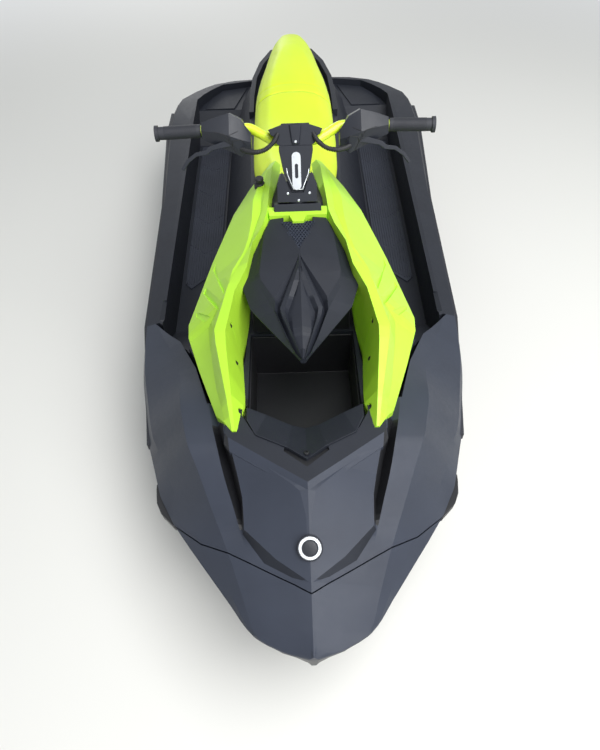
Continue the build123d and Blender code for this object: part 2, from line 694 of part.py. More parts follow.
with BuildPart() as engine:
    with Locations((0, aft(ENGINE_START), ENGINE_LOW)):
        Box(ENGINE_WIDE, ENGINE_LONG, ENGINE_HIGH, align=(Align.CENTER, Align.MIN, Align.MIN))

# Jet pump, aft of the tunnel's front wall
with BuildPart() as pump_housing:
    with BuildSketch(SHAFT_LINE):
        Circle(PUMP_R)
        Circle(BORE_R, mode=Mode.SUBTRACT)
    extrude(amount=PUMP_LONG)


def round_shaft(distance, angle, out, beside):
    """Point this far aft, on a line out of the shaft at this angle: distance out along it, and beside it."""
    turn = math.radians(angle)
    x = out * math.cos(turn) - beside * math.sin(turn)
    z = out * math.sin(turn) + beside * math.cos(turn)
    return Vector(x, aft(distance), PUMP_AXIS + z)


with BuildPart() as impeller:
    with BuildSketch(SHAFT_LINE.offset(IMPELLER_START)):
        Circle(HUB_R)
    extrude(amount=IMPELLER_LONG)
    for turn in range(BLADES):
        blade_rings = []
        for step in range(BLADE_STEPS + 1):
            along = PUMP_START + IMPELLER_START + 10 + step * (IMPELLER_LONG - 20) / BLADE_STEPS
            angle = turn * 360 / BLADES + step * BLADE_TURN / BLADE_STEPS
            half = BLADE / 2
            across = [(HUB_R - BLADE, -half), (BLADE_TIP, -half), (BLADE_TIP, half), (HUB_R - BLADE, half)]
            blade_rings.append([round_shaft(along, angle, out, beside) for out, beside in across])
        add(skinned(blade_rings))
    # shaft forward to the engine
    with BuildSketch(SHAFT_LINE.offset(IMPELLER_START)):
        Circle(SHAFT_R)
    extrude(amount=-(PUMP_START + IMPELLER_START - ENGINE_START - ENGINE_LONG - FIT))

with BuildPart() as venturi:
    venturi_start = PUMP_START + PUMP_LONG
    neck = NOZZLE_PIVOT - 36
    with BuildSketch(Plane.YZ):
        with BuildLine():
            Polyline(
                (aft(venturi_start), PUMP_AXIS + BORE_R),
                (aft(venturi_start), PUMP_AXIS + PUMP_R),
                (aft(venturi_start + VENTURI_RIM), PUMP_AXIS + PUMP_R),
                (aft(neck), PUMP_AXIS + VENTURI_R),
                (aft(NOZZLE_PIVOT + 10), PUMP_AXIS + VENTURI_R),
                (aft(NOZZLE_PIVOT + 10), PUMP_AXIS + VENTURI_R - VENTURI_WALL),
                (aft(neck - 4), PUMP_AXIS + VENTURI_R - VENTURI_WALL),
                (aft(venturi_start + VENTURI_RIM), PUMP_AXIS + BORE_R),
                close=True,
            )
        make_face()
    revolve(axis=Axis(SHAFT_LINE.origin, (0, 1, 0)))
    # stator hub and vanes
    with BuildSketch(SHAFT_LINE.offset(PUMP_LONG)):
        Circle(HUB_R)
    extrude(amount=VENTURI_RIM)
    with BuildSketch(SHAFT_LINE.offset(PUMP_LONG + VENTURI_RIM)):
        Circle(HUB_R)
    extrude(amount=24, taper=20)
    with BuildSketch(SHAFT_LINE.offset(PUMP_LONG + 2)):
        with PolarLocations(HUB_R / 2, VANES):
            Rectangle(BORE_R + BLADE - HUB_R / 2, BLADE, align=(Align.MIN, Align.CENTER))
    extrude(amount=26)
    # pins that the steering nozzle turns on, above and below, and bosses with the reverse bucket's pins
    boss = 2 * PIN_R + 6  # square boss under each pin
    boss_end = BUCKET_HALF - BUCKET_WALL - 1
    for side in (1, -1):
        with BuildSketch(Plane.XY.offset(PUMP_AXIS + side * (VENTURI_R - 3))):
            with Locations((0, aft(NOZZLE_PIVOT))):
                Rectangle(boss, boss)
        extrude(amount=side * 5)
        with BuildSketch(Plane.XY.offset(PUMP_AXIS + side * (VENTURI_R + 2))):
            with Locations((0, aft(NOZZLE_PIVOT))):
                Circle(PIN_R)
        extrude(amount=side * (NOZZLE_GAP + NOZZLE_WALL - 1))
        with BuildSketch(Plane.YZ.offset(side * (VENTURI_R + 4))):
            with Locations((aft(BUCKET_PIVOT), PUMP_AXIS)):
                Rectangle(boss, boss)
        extrude(amount=side * (boss_end - VENTURI_R - 4))
        with BuildSketch(Plane.YZ.offset(side * boss_end)):
            with Locations((aft(BUCKET_PIVOT), PUMP_AXIS)):
                Circle(PIN_R)
        extrude(amount=side * (BUCKET_HALF + 2 - boss_end))

with BuildPart() as steering_nozzle:
    mouth = VENTURI_R + NOZZLE_GAP
    with BuildSketch(Plane.YZ):
        with BuildLine():
            Polyline(
                (aft(NOZZLE_PIVOT - 8), PUMP_AXIS + mouth),
                (aft(NOZZLE_PIVOT - 8), PUMP_AXIS + mouth + NOZZLE_WALL),
                (aft(NOZZLE_PIVOT + 12), PUMP_AXIS + mouth + NOZZLE_WALL),
                (aft(NOZZLE_BACK), PUMP_AXIS + NOZZLE_END_R + NOZZLE_WALL),
                (aft(NOZZLE_BACK), PUMP_AXIS + NOZZLE_END_R),
                (aft(NOZZLE_PIVOT + 12), PUMP_AXIS + mouth),
                close=True,
            )
        make_face()
    revolve(axis=Axis(SHAFT_LINE.origin, (0, 1, 0)))
    # flats above and below that the pins pass through
    for side in (1, -1):
        with Locations((0, aft(NOZZLE_PIVOT), PUMP_AXIS + side * (mouth + NOZZLE_WALL / 2))):
            Box(2 * NOZZLE_FLAT, 2 * NOZZLE_FLAT - 8, NOZZLE_WALL + 2)
    with BuildSketch(Plane.XY.offset(PUMP_AXIS)):
        with Locations((0, aft(NOZZLE_PIVOT))):
            Circle(PIN_R + PIN_GAP)
    extrude(amount=2 * mouth, both=True, mode=Mode.SUBTRACT)

BUCKET_OUT = BUCKET_REACH / math.cos(math.radians(BUCKET_LOW_ANGLE))


def round_pivot(radius, angle):
    """Point (y, z) at this angle above straight aft of the bucket's pivot."""
    turn = math.radians(angle)
    return (aft(BUCKET_PIVOT) + radius * math.cos(turn), PUMP_AXIS + radius * math.sin(turn))


with BuildPart() as reverse_bucket:
    with BuildSketch(Plane.YZ):
        with BuildLine():
            for radius in (BUCKET_OUT, BUCKET_OUT - BUCKET_WALL):
                CenterArc(round_pivot(0, 0), radius, BUCKET_LOW_ANGLE, BUCKET_HIGH_ANGLE - BUCKET_LOW_ANGLE)
            for angle in (BUCKET_LOW_ANGLE, BUCKET_HIGH_ANGLE):
                Line(round_pivot(BUCKET_OUT - BUCKET_WALL, angle), round_pivot(BUCKET_OUT, angle))
        make_face()
    extrude(amount=BUCKET_HALF, both=True)
    # side arms down to the pins
    reach = BUCKET_OUT - BUCKET_WALL / 2
    for side in (1, -1):
        with BuildSketch(Plane.YZ.offset(side * (BUCKET_HALF - BUCKET_WALL))):
            with BuildLine():
                Polyline(
                    round_pivot(18, BUCKET_LOW_ANGLE - 90),
                    round_pivot(reach, BUCKET_LOW_ANGLE + 1),
                    round_pivot(reach, (BUCKET_LOW_ANGLE + BUCKET_HIGH_ANGLE) / 2),
                    round_pivot(reach, BUCKET_HIGH_ANGLE - 1),
                    round_pivot(18, BUCKET_HIGH_ANGLE + 90),
                    round_pivot(18, BUCKET_LOW_ANGLE + 180),
                    close=True,
                )
            make_face()
        extrude(amount=side * BUCKET_WALL)
    with BuildSketch(Plane.YZ):
        with Locations(round_pivot(0, 0)):
            Circle(PIN_R + PIN_GAP)
    extrude(amount=BUCKET_HALF + 1, both=True, mode=Mode.SUBTRACT)

with BuildPart() as ride_plate:
    with Locations((0, aft(PUMP_START), PLATE_LOW)):
        Box(2 * TUNNEL_HALF, TRANSOM - PUMP_START - 10, PLATE, align=(Align.CENTER, Align.MIN, Align.MIN))

GRATE_BARS = 4
GRATE_PITCH = 28
GRATE_BAR = 8
GRATE_LOW = 2
GRATE_HIGH = 12
with BuildPart() as intake_grate:
    add(duct.part)
    with BuildSketch(Plane.XY.offset(GRATE_LOW)):
        with Locations((0, aft(DUCT_BEND))):
            with GridLocations(GRATE_PITCH, 1, GRATE_BARS, 1):
                Rectangle(GRATE_BAR, TRANSOM)
    extrude(amount=GRATE_HIGH, mode=Mode.INTERSECT)

# Steering. Places on the column are (across, aft of it, up it)
def on_column(*place):
    """Point in space from its place on the column."""
    return COLUMN.from_local_coords(Vector(*place))


TONGUE_BACK = RISER_DEEP  # the tongue's distance in front of the column's middle
TONGUE = 8
# Corners (across, up the column), port side
TONGUE_SIDE = [(14, 62), (36, 111), (46, 165), (46, 178)]
GUARD = [(0, 31), (55, 31), (55, 78), (40, 112), (18, 56), (0, 56)]
GUARD_ROOT = [(0, 31), (52, 31), (50, 84), (29, 84), (18, 56), (0, 56)]
with BuildPart() as column:
    with BuildSketch(COLUMN.offset(FOOT_HIGH + FIT)):
        Circle(COLUMN_BEARING_R)
    extrude(amount=COLUMN_BEARING)
    with BuildSketch(COLUMN.offset(FOOT_HIGH + FIT + COLUMN_BEARING)):
        Rectangle(COLUMN_LOW_WIDE, 2 * RISER_DEEP - 2)
    with BuildSketch(COLUMN.offset(RISER_LOW - RUN)):
        Rectangle(COLUMN_TOP_WIDE, 2 * RISER_DEEP - 2)
    loft()
    with BuildSketch(COLUMN.offset(RISER_LOW - RUN)):
        Rectangle(POST_WIDE, POST_WIDE)
    extrude(amount=POST_TOP - RISER_LOW + RUN)
    # guard round the riser's tongue
    guard_back = TONGUE_BACK + 2
    for low, high, face in (
        (guard_back, TONGUE_BACK + TONGUE, GUARD),
        (guard_back - 4, guard_back, GUARD_ROOT),
    ):
        with BuildSketch(FRONT_FACE.offset(low)):
            with BuildLine():
                Polyline(*both_sides(face), close=True)
            make_face()
        extrude(amount=high - low)

BAR_ROUTE = [
    (-GRIP_END + 2, 17, BAR_LOW + 29),
    (-125, 30, BAR_LOW + 36),
    (-60, 12, BAR_LOW),
    (60, 12, BAR_LOW),
    (125, 30, BAR_LOW + 36),
    (GRIP_END - 2, 17, BAR_LOW + 29),
]
with BuildPart() as handlebar:
    with BuildLine() as bar_line:
        FilletPolyline(*[on_column(*place) for place in BAR_ROUTE], radius=35)
    with BuildSketch(Plane(origin=bar_line.line @ 0, z_dir=bar_line.line % 0)):
        Circle(BAR_R)
    sweep()

with BuildPart() as bar_room:
    # square way through the cover, wide enough for the bar's bends
    with BuildLine() as bar_corners:
        Polyline(*[on_column(*place) for place in BAR_ROUTE])
    with BuildSketch(Plane(origin=bar_corners.line @ 0, x_dir=COLUMN.y_dir, z_dir=bar_corners.line % 0)):
        Rectangle(2 * BAR_R + BEND_ROOM, 2 * BAR_R + BEND_ROOM)
    sweep(transition=Transition.RIGHT)

RISER_SIDE = [(20, RISER_LOW), (38, BAR_LOW - 8), (38, RISER_TOP)]
with BuildPart() as riser:
    # tapered sleeve, clamped round the bar
    with BuildSketch(FRONT_FACE):
        with BuildLine():
            Polyline(*both_sides(RISER_SIDE), close=True)
        make_face()
    extrude(amount=RISER_DEEP, both=True)
    with BuildSketch(COLUMN.offset(RISER_LOW)):
        Rectangle(POST_WIDE + 2 * FIT, POST_WIDE + 2 * FIT)
    extrude(amount=RISER_ROOF - RISER_LOW, mode=Mode.SUBTRACT)
    # tongue in front of the column's base
    with BuildSketch(FRONT_FACE.offset(TONGUE_BACK)):
        with BuildLine():
            Polyline(*both_sides(TONGUE_SIDE), close=True)
        make_face()
    extrude(amount=TONGUE)
    # clamp for the bar
    with BuildSketch(Plane(origin=on_column(*BAR_ROUTE[2]), x_dir=COLUMN.y_dir, z_dir=(1, 0, 0))):
        Rectangle(2 * BAR_R + PIN_GAP, 2 * BAR_R + PIN_GAP)
    extrude(amount=2 * BAR_ROUTE[3][0], mode=Mode.SUBTRACT)

PLATE_MIDDLE = 113
PLATE_LONG = 98
PLATE_WIDE = 24
PLATE_THICK = 4
PLATE_SLOT = 38
PLATE_SLOT_WIDE = 9
with BuildPart() as riser_plate:
    # slotted plate on the tongue
    with BuildSketch(FRONT_FACE.offset(TONGUE_BACK + TONGUE)):
        with Locations((0, PLATE_MIDDLE)):
            SlotOverall(PLATE_LONG, PLATE_WIDE, rotation=90)
            SlotOverall(PLATE_SLOT, PLATE_SLOT_WIDE, rotation=90, mode=Mode.SUBTRACT)
    extrude(amount=PLATE_THICK)

COVER_BACK = RISER_DEEP + 2
COVER_FRONT = RISER_DEEP + 6
COVER = [(43, 178), (52, 184), (56, 200), (66, 206), (73, 219), (40, 230), (0, 234)]
with BuildPart() as bar_cover:
    with BuildSketch(FRONT_FACE.offset(-COVER_BACK)):
        with BuildLine():
            Polyline(*both_sides(COVER), close=True)
        make_face()
    extrude(amount=COVER_BACK + COVER_FRONT)
    with BuildSketch(COLUMN.offset(RISER_LOW)):
        Rectangle(POST_WIDE + 2 * FIT, POST_WIDE + 2 * FIT)
    extrude(amount=RISER_ROOF - RISER_LOW, mode=Mode.SUBTRACT)
    add(riser.part, mode=Mode.SUBTRACT)
    add(riser_plate.part, mode=Mode.SUBTRACT)
    add(bar_room.part, mode=Mode.SUBTRACT)

outer_start = on_column(*BAR_ROUTE[-2])
outward = (on_column(*BAR_ROUTE[-1]) - outer_start).normalized()
GRIP_LINE = Plane(origin=outer_start, z_dir=outward)
with BuildPart() as grips:
    from_bend = GRIP_START - BAR_ROUTE[-2][0]
    with BuildSketch(GRIP_LINE.offset(from_bend)):
        Circle(GRIP_R)
    extrude(amount=GRIP_END - GRIP_START - GRIP_FLANGE_LONG)
    with BuildSketch(GRIP_LINE.offset(GRIP_END - BAR_ROUTE[-2][0] - GRIP_FLANGE_LONG)):
        Circle(GRIP_R + GRIP_FLANGE)
    extrude(amount=GRIP_FLANGE_LONG)
    with BuildSketch(GRIP_LINE.offset(from_bend)):
        Circle(BAR_R + PIN_GAP)
    extrude(amount=GRIP_END - GRIP_START - 1, mode=Mode.SUBTRACT)
    add(other_side(grips))

# Control pod, port: across, then (aft, up) round it
POD_STATIONS = [
    (121, (-8, 190), (4, 212), (30, 214), (40, 195), (30, 176), (0, 172)),
    (146, (-20, 196), (2, 247), (40, 250), (56, 208), (40, 160), (-4, 152)),
    (178, (-26, 208), (2, 264), (46, 266), (60, 222), (42, 176), (-4, 167)),
    (222, (-18, 218), (2, 253), (42, 254), (54, 224), (40, 194), (-2, 187)),
    (254, (-6, 222), (4, 242), (32, 241), (40, 222), (32, 204), (2, 200)),
]
with BuildPart() as pod_port:
    add(skinned([[on_column(x, y, z) for y, z in corners] for x, *corners in POD_STATIONS]))
    with BuildSketch(GRIP_LINE.offset(-24)):
        Rectangle(2 * BAR_R + PIN_GAP, 2 * BAR_R + PIN_GAP)
    extrude(amount=200, mode=Mode.SUBTRACT)
    # room for the bar's bend
    with BuildSketch(GRIP_LINE.offset(-24)):
        Rectangle(2 * BAR_R + 3 * BEND_ROOM, 2 * BAR_R + 3 * BEND_ROOM)
    extrude(amount=37, mode=Mode.SUBTRACT)

with BuildPart() as pod_starboard:
    add(other_side(pod_port))

# Lever, port, on the column's front face: across, up
LEVER = [
    (160, 205), (236, 182), (248, 172), (274, 168), (299, 151), (317, 126),
    (310, 122), (293, 143), (271, 158), (243, 161), (228, 172), (160, 184),
]
LEVER_FRONT = 4
LEVER_THICK = 10
with BuildPart() as levers:
    with BuildSketch(FRONT_FACE.offset(LEVER_FRONT)):
        with BuildLine():
            Polyline(*LEVER, close=True)
        make_face()
    extrude(amount=LEVER_THICK)
    add(pod_port.part, mode=Mode.SUBTRACT)
    add(other_side(levers))

with BuildPart() as conduits:
    route = [(48, -24, 208), (58, -38, 190), (80, -46, 172), (106, -43, 165), (130, -26, 167), (150, -6, 174)]
    with BuildLine() as conduit_line:
        Polyline(*[on_column(*place) for place in route])
    with BuildSketch(Plane(origin=conduit_line.line @ 0, z_dir=conduit_line.line % 0)):
        RegularPolygon(CONDUIT_R, 8)
    sweep(transition=Transition.RIGHT)
    add(bar_cover.part, mode=Mode.SUBTRACT)
    add(pod_port.part, mode=Mode.SUBTRACT)
    add(levers.part, mode=Mode.SUBTRACT)
    add(other_side(conduits))

for piece, name in (
    (hull, "hull"),
    (deck, "deck"),
    (hood, "hood"),
    (nose_panel, "nose_panel"),
    (arm_port, "arm_port"),
    (arm_starboard, "arm_starboard"),
    (exo_bridge, "exo_bridge"),
    (beak, "beak"),
    (beak_vent, "beak_vent"),
    (badge_disc, "badge_disc"),
    (console, "console"),
    (bow_tub, "bow_tub"),
    (lip_cover, "lip_cover"),
    (front_bumpers, "front_bumpers"),
    (tail_cowl, "tail_cowl"),
    (seat, "seat"),
    (mats, "mats"),
    (step_pads, "step_pads"),
    (rub_rail, "rub_rail"),
    (bow_eye, "bow_eye"),
    (stern_eyes, "stern_eyes"),
    (drain_plugs, "drain_plugs"),
    (lanyard_post, "lanyard_post"),
    (engine, "engine"),
    (pump_housing, "pump_housing"),
    (impeller, "impeller"),
    (venturi, "venturi"),
    (steering_nozzle, "steering_nozzle"),
    (reverse_bucket, "reverse_bucket"),
    (ride_plate, "ride_plate"),
    (intake_grate, "intake_grate"),
    (steering_foot, "steering_foot"),
    (column, "column"),
    (riser, "riser"),
    (riser_plate, "riser_plate"),
    (handlebar, "handlebar"),
    (bar_cover, "bar_cover"),
    (grips, "grips"),
    (pod_port, "pod_port"),
    (pod_starboard, "pod_starboard"),
    (levers, "levers"),
    (conduits, "conduits"),
):
    finish(piece, name)
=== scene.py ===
import bmesh
import bpy
import json
import math
from bisect import bisect_right
from mathutils import Matrix, Vector
from mathutils.bvhtree import BVHTree


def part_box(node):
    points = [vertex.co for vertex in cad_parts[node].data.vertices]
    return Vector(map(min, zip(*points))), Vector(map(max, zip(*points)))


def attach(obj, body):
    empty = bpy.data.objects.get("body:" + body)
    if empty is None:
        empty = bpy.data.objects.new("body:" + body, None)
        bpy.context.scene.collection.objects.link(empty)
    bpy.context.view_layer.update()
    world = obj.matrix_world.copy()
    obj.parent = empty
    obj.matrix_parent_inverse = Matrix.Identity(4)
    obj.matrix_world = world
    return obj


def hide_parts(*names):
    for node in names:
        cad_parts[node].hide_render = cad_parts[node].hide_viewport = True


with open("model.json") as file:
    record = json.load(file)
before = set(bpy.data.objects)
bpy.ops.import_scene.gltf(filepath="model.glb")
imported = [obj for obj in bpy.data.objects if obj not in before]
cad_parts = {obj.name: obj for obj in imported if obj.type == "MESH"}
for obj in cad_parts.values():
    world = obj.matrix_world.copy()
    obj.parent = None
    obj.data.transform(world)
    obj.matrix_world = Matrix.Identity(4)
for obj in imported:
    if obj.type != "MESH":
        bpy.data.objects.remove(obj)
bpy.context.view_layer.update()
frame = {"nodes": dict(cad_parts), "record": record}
NODES = frame["nodes"]
BODY_OF = {n: b for b, ns in frame["record"]["behaviour"]["bodies"].items() for n in ns}
SLOT_OF = {p["node"]: p["material_slot"] for p in frame["record"]["subparts"]}
HALF = 1395  # bow tip to the middle of the boat, mm
UP = Vector((0, 0, 1))


def at(x, s, z):
    """Point in metres from its half width, distance aft of the bow tip and height, in mm."""
    return Vector((x, s - HALF, z)) / 1000


LEAN = math.radians(30)
COLUMN_FOOT = at(0, 1102, 850)
COLUMN_UP = Vector((0, math.sin(LEAN), math.cos(LEAN)))
COLUMN_AFT = Vector((0, math.cos(LEAN), -math.sin(LEAN)))


def col(x, aft, up):
    """Point in metres on the steering column: across, aft of it and up it, in mm."""
    return COLUMN_FOOT + (Vector((1, 0, 0)) * x + COLUMN_AFT * aft + COLUMN_UP * up) / 1000


# Materials


def linear(rgb):
    """Scene-linear colour from sRGB 0-255."""
    out = []
    for v in rgb:
        v /= 255
        out.append(v / 12.92 if v <= 0.04045 else ((v + 0.055) / 1.055) ** 2.4)
    return (*out, 1)


def moulded(name, rgb, rough=0.5, spread=0.08, grain=700, grain_depth=0.15, wave=9, metal=0.0, coat=0.0,
            scuff=0.25, rough_spread=0.12, specular=0.5):
    """Plastic, rubber or metal with soft colour variation, fine grain and light scuffs."""
    mat = bpy.data.materials.new(name)
    mat.use_nodes = True
    nt = mat.node_tree
    bsdf = nt.nodes["Principled BSDF"]
    bsdf.inputs["Metallic"].default_value = metal
    bsdf.inputs["Coat Weight"].default_value = coat
    bsdf.inputs["Coat Roughness"].default_value = 0.15
    bsdf.inputs["Specular IOR Level"].default_value = specular
    place = nt.nodes.new("ShaderNodeTexCoord")
    cloud = nt.nodes.new("ShaderNodeTexNoise")
    cloud.inputs["Scale"].default_value = wave
    cloud.inputs["Detail"].default_value = 4
    nt.links.new(place.outputs["Object"], cloud.inputs["Vector"])
    ramp = nt.nodes.new("ShaderNodeValToRGB")
    base = linear(rgb)
    ramp.color_ramp.elements[0].position = 0.3
    ramp.color_ramp.elements[1].position = 0.7
    ramp.color_ramp.elements[0].color = tuple(c * (1 - spread) for c in base[:3]) + (1,)
    ramp.color_ramp.elements[1].color = tuple(min(1, c * (1 + spread)) for c in base[:3]) + (1,)
    nt.links.new(cloud.outputs["Fac"], ramp.inputs["Fac"])
    # sparse fine scuffs, a little lighter
    scratch = nt.nodes.new("ShaderNodeTexNoise")
    scratch.inputs["Scale"].default_value = 60
    scratch.inputs["Detail"].default_value = 8
    scratch.inputs["Roughness"].default_value = 0.75
    nt.links.new(place.outputs["Object"], scratch.inputs["Vector"])
    pick = nt.nodes.new("ShaderNodeMapRange")
    pick.inputs["From Min"].default_value = 0.62
    pick.inputs["From Max"].default_value = 0.75
    pick.inputs["To Max"].default_value = scuff
    nt.links.new(scratch.outputs["Fac"], pick.inputs["Value"])
    mix = nt.nodes.new("ShaderNodeMix")
    mix.data_type = "RGBA"
    mix.inputs[7].default_value = tuple(min(1, c * 1.5 + 0.01) for c in base[:3]) + (1,)
    nt.links.new(pick.outputs["Result"], mix.inputs[0])
    nt.links.new(ramp.outputs["Color"], mix.inputs[6])
    nt.links.new(mix.outputs[2], bsdf.inputs["Base Color"])
    rough_map = nt.nodes.new("ShaderNodeMapRange")
    rough_map.inputs["To Min"].default_value = max(0.05, rough - rough_spread)
    rough_map.inputs["To Max"].default_value = min(1, rough + rough_spread)
    nt.links.new(scratch.outputs["Fac"], rough_map.inputs["Value"])
    nt.links.new(rough_map.outputs["Result"], bsdf.inputs["Roughness"])
    fine = nt.nodes.new("ShaderNodeTexVoronoi")
    fine.inputs["Scale"].default_value = grain
    nt.links.new(place.outputs["Object"], fine.inputs["Vector"])
    bump = nt.nodes.new("ShaderNodeBump")
    bump.inputs["Strength"].default_value = grain_depth
    bump.inputs["Distance"].default_value = 0.0006
    nt.links.new(fine.outputs["Distance"], bump.inputs["Height"])
    nt.links.new(bump.outputs["Normal"], bsdf.inputs["Normal"])
    return mat


SLATE = moulded("hood_plastic", (50, 55, 67), rough=0.5, spread=0.08, specular=0.35)
BLACK = moulded("deck_plastic", (34, 37, 45), rough=0.55, spread=0.12, specular=0.3)
# darkest plastic: the own colour of dark parts, and painted shade where hood and beak faces are painted with
# it
DARK_PLASTIC_AND_SHADE = moulded("dark_plastic_and_painted_shade", (19, 20, 24), rough=0.55, spread=0.15)
HULL = moulded("hull_plastic", (25, 27, 32), rough=0.38, spread=0.08)
LIME = moulded("lime_plastic", (186, 238, 62), rough=0.42, spread=0.035, scuff=0.08, grain_depth=0.08)
YELLOW = moulded("yellow_paint", (214, 240, 50), rough=0.35, spread=0.04, scuff=0.08, grain_depth=0.03,
                 coat=0.3)
VINYL = moulded("seat_vinyl", (216, 242, 50), rough=0.5, spread=0.035, scuff=0.06, grain=420,
                grain_depth=0.35)
RUBBER = moulded("grip_rubber", (38, 40, 47), rough=0.62, spread=0.1, grain_depth=0.4)
MAT = moulded("mat_foam", (48, 52, 63), rough=0.8, spread=0.12, grain=350, grain_depth=0.6)
GLOSS = moulded("control_plastic", (32, 35, 43), rough=0.4, spread=0.12, specular=0.4)
PIPING = moulded("seat_piping", (176, 198, 40), rough=0.55, spread=0.05)
SILVER = moulded("satin_metal", (222, 226, 230), rough=0.3, spread=0.05, metal=0.9, scuff=0.1,
                 grain_depth=0.02)
STEEL = moulded("steel", (175, 180, 186), rough=0.28, spread=0.08, metal=1.0, grain_depth=0.05)
IRON = moulded("engine_metal", (88, 90, 94), rough=0.55, spread=0.2, metal=0.6, grain_depth=0.6)
ALLOY = moulded("pump_alloy", (60, 63, 68), rough=0.4, spread=0.12, metal=0.7, grain_depth=0.2)


# Mesh helpers


def link(name, mesh):
    obj = bpy.data.objects.new(name, mesh)
    bpy.context.scene.collection.objects.link(obj)
    return obj


def from_bmesh(name, bm):
    mesh = bpy.data.meshes.new(name)
    bm.to_mesh(mesh)
    bm.free()
    return link(name, mesh)


def applied(obj):
    """obj with its modifiers worked into its mesh."""
    graph = bpy.context.evaluated_depsgraph_get()
    graph.update()
    final = obj.evaluated_get(graph)
    mesh = bpy.data.meshes.new_from_object(final, preserve_all_data_layers=True, depsgraph=graph)
    obj.modifiers.clear()
    old = obj.data
    obj.data = mesh
    bpy.data.meshes.remove(old)
    return obj


def shaded(obj, angle=30):
    """obj with smooth shading that breaks at edges sharper than angle."""
    obj.data.shade_smooth()
    obj.data.set_sharp_from_angle(angle=math.radians(angle))
    return obj


def rounded(obj, width=2.5, segments=2, angle=14, smooth=35):
    """Rounds the sharp edges of obj by width mm, and shades it."""
    bevel = obj.modifiers.new("bevel", "BEVEL")
    bevel.width = width / 1000
    bevel.segments = segments
    bevel.limit_method = "ANGLE"
    bevel.angle_limit = math.radians(angle)
    bevel.miter_outer = "MITER_ARC"
    bevel.use_clamp_overlap = True
    shaded(applied(obj), smooth)
    weight = obj.modifiers.new("weight", "WEIGHTED_NORMAL")
    weight.keep_sharp = True
    weight.weight = 60
    return applied(obj)


def cleaned(bm, flat=1.5):
    """Joins doubled points and flat facets of bm, and turns its faces outward."""
    bmesh.ops.remove_doubles(bm, verts=bm.verts, dist=2e-5)
    bmesh.ops.dissolve_limit(bm, angle_limit=math.radians(flat), verts=bm.verts, edges=bm.edges)
    bmesh.ops.recalc_face_normals(bm, faces=bm.faces)


def place(obj, material, body, slot, stands_for=()):
    """Gives obj its material and its body, and hides the CAD nodes that it stands for; slot is not used."""
    obj.data.materials.clear()
    obj.data.materials.append(material)
    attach(obj, body)
    if stands_for:
        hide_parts(*stands_for)
    return obj


def softened(node, material, width):
    """A copy of a CAD node with its flat facets joined and its edges rounded, which replaces it."""
    bm = bmesh.new()
    bm.from_mesh(NODES[node].data)
    cleaned(bm)
    obj = rounded(from_bmesh("soft_" + node, bm), width)
    return place(obj, material, BODY_OF[node], SLOT_OF[node], [node])


def finish_node(node, material):
    """A CAD node that stays as it is, with this material."""
    obj = NODES[node]
    obj.data.materials.clear()
    obj.data.materials.append(material)
    return obj


# Forms from tables of lines


def both(corners):
    """Port corners (x, other), followed by those of starboard."""
    return list(corners) + [(-x, other) for x, other in reversed(corners) if x > 0]


def curve_through(knots, values, kinks=()):
    """Smooth line through the values that never overshoots, and turns sharply at the kinks."""
    slopes = [(values[k + 1] - values[k]) / (knots[k + 1] - knots[k]) for k in range(len(knots) - 1)]
    before, after = [slopes[0]], [slopes[0]]
    for k in range(1, len(knots) - 1):
        one, two = slopes[k - 1], slopes[k]
        if knots[k] in kinks:
            before.append(one)
            after.append(two)
            continue
        mean = 2 * one * two / (one + two) if one * two > 0 else 0
        before.append(mean)
        after.append(mean)
    before.append(slopes[-1])
    after.append(slopes[-1])

    def value(x):
        k = max(0, min(len(knots) - 2, bisect_right(knots, x) - 1))
        span = knots[k + 1] - knots[k]
        t = (x - knots[k]) / span
        return (
            (1 + 2 * t) * (1 - t) ** 2 * values[k]
            + t * (1 - t) ** 2 * span * after[k]
            + t * t * (3 - 2 * t) * values[k + 1]
            - t * t * (1 - t) * span * before[k + 1]
        )

    return value


def lines_of(stations, straight=()):
    """For each line of a table, the curves of its half width and its height along the boat."""
    knots = [row[0] for row in stations]
    lines = []
    for i in range(1, len(stations[0])):
        kinks = knots if i - 1 in straight else ()
        lines.append([curve_through(knots, [row[i][axis] for row in stations], kinks) for axis in (0, 1)])
    return knots, lines


def bridged(name, rings):
    """Closed mesh through rings of points."""
    bm = bmesh.new()
    rows = [[bm.verts.new(point) for point in ring] for ring in rings]
    count = len(rows[0])
    for near, far in zip(rows, rows[1:]):
        for i in range(count):
            bm.faces.new((near[i], near[(i + 1) % count], far[(i + 1) % count], far[i]))
    bm.faces.new(rows[0])
    bm.faces.new(rows[-1])
    bmesh.ops.recalc_face_normals(bm, faces=bm.faces)
    return from_bmesh(name, bm)


def skin(name, stations, step=14, straight=(), mirrored=True):
    """Closed mesh through a table's lines, drawn finely along the boat."""
    knots, lines = lines_of(stations, straight)
    first, last = knots[0], knots[-1]
    count = max(1, round((last - first) / step))
    places = sorted(set(knots) | {round(first + k * (last - first) / count, 3) for k in range(1, count)})
    places = [s for i, s in enumerate(places) if s in knots or all(abs(s - k) > step / 3 for k in knots)]
    rings = []
    for s in places:
        corners = [(x(s), z(s)) for x, z in lines]
        rings.append([at(x, s, z) for x, z in (both(corners) if mirrored else corners)])
    return bridged(name, rings)


def rows_of(*lines):
    """Table of rows through lines that each have their own places (aft, x, z), straight between them."""
    knots = sorted({point[0] for line in lines for point in line})
    curves = []
    for line in lines:
        own = [point[0] for point in line]
        curves.append([curve_through(own, [point[axis] for point in line], own) for axis in (1, 2)])
    return [(s, *[(x(s), z(s)) for x, z in curves]) for s in knots]


def crisp(name, *lines, mirrored=True):
    """Closed mesh with flat facets through lines (aft, x, z), outermost and lowest first."""
    rows = rows_of(*lines)
    obj = skin(name, rows, 5000, range(len(lines)), mirrored)
    bm = bmesh.new()
    bm.from_mesh(obj.data)
    cleaned(bm, 1)
    bm.to_mesh(obj.data)
    bm.free()
    return obj


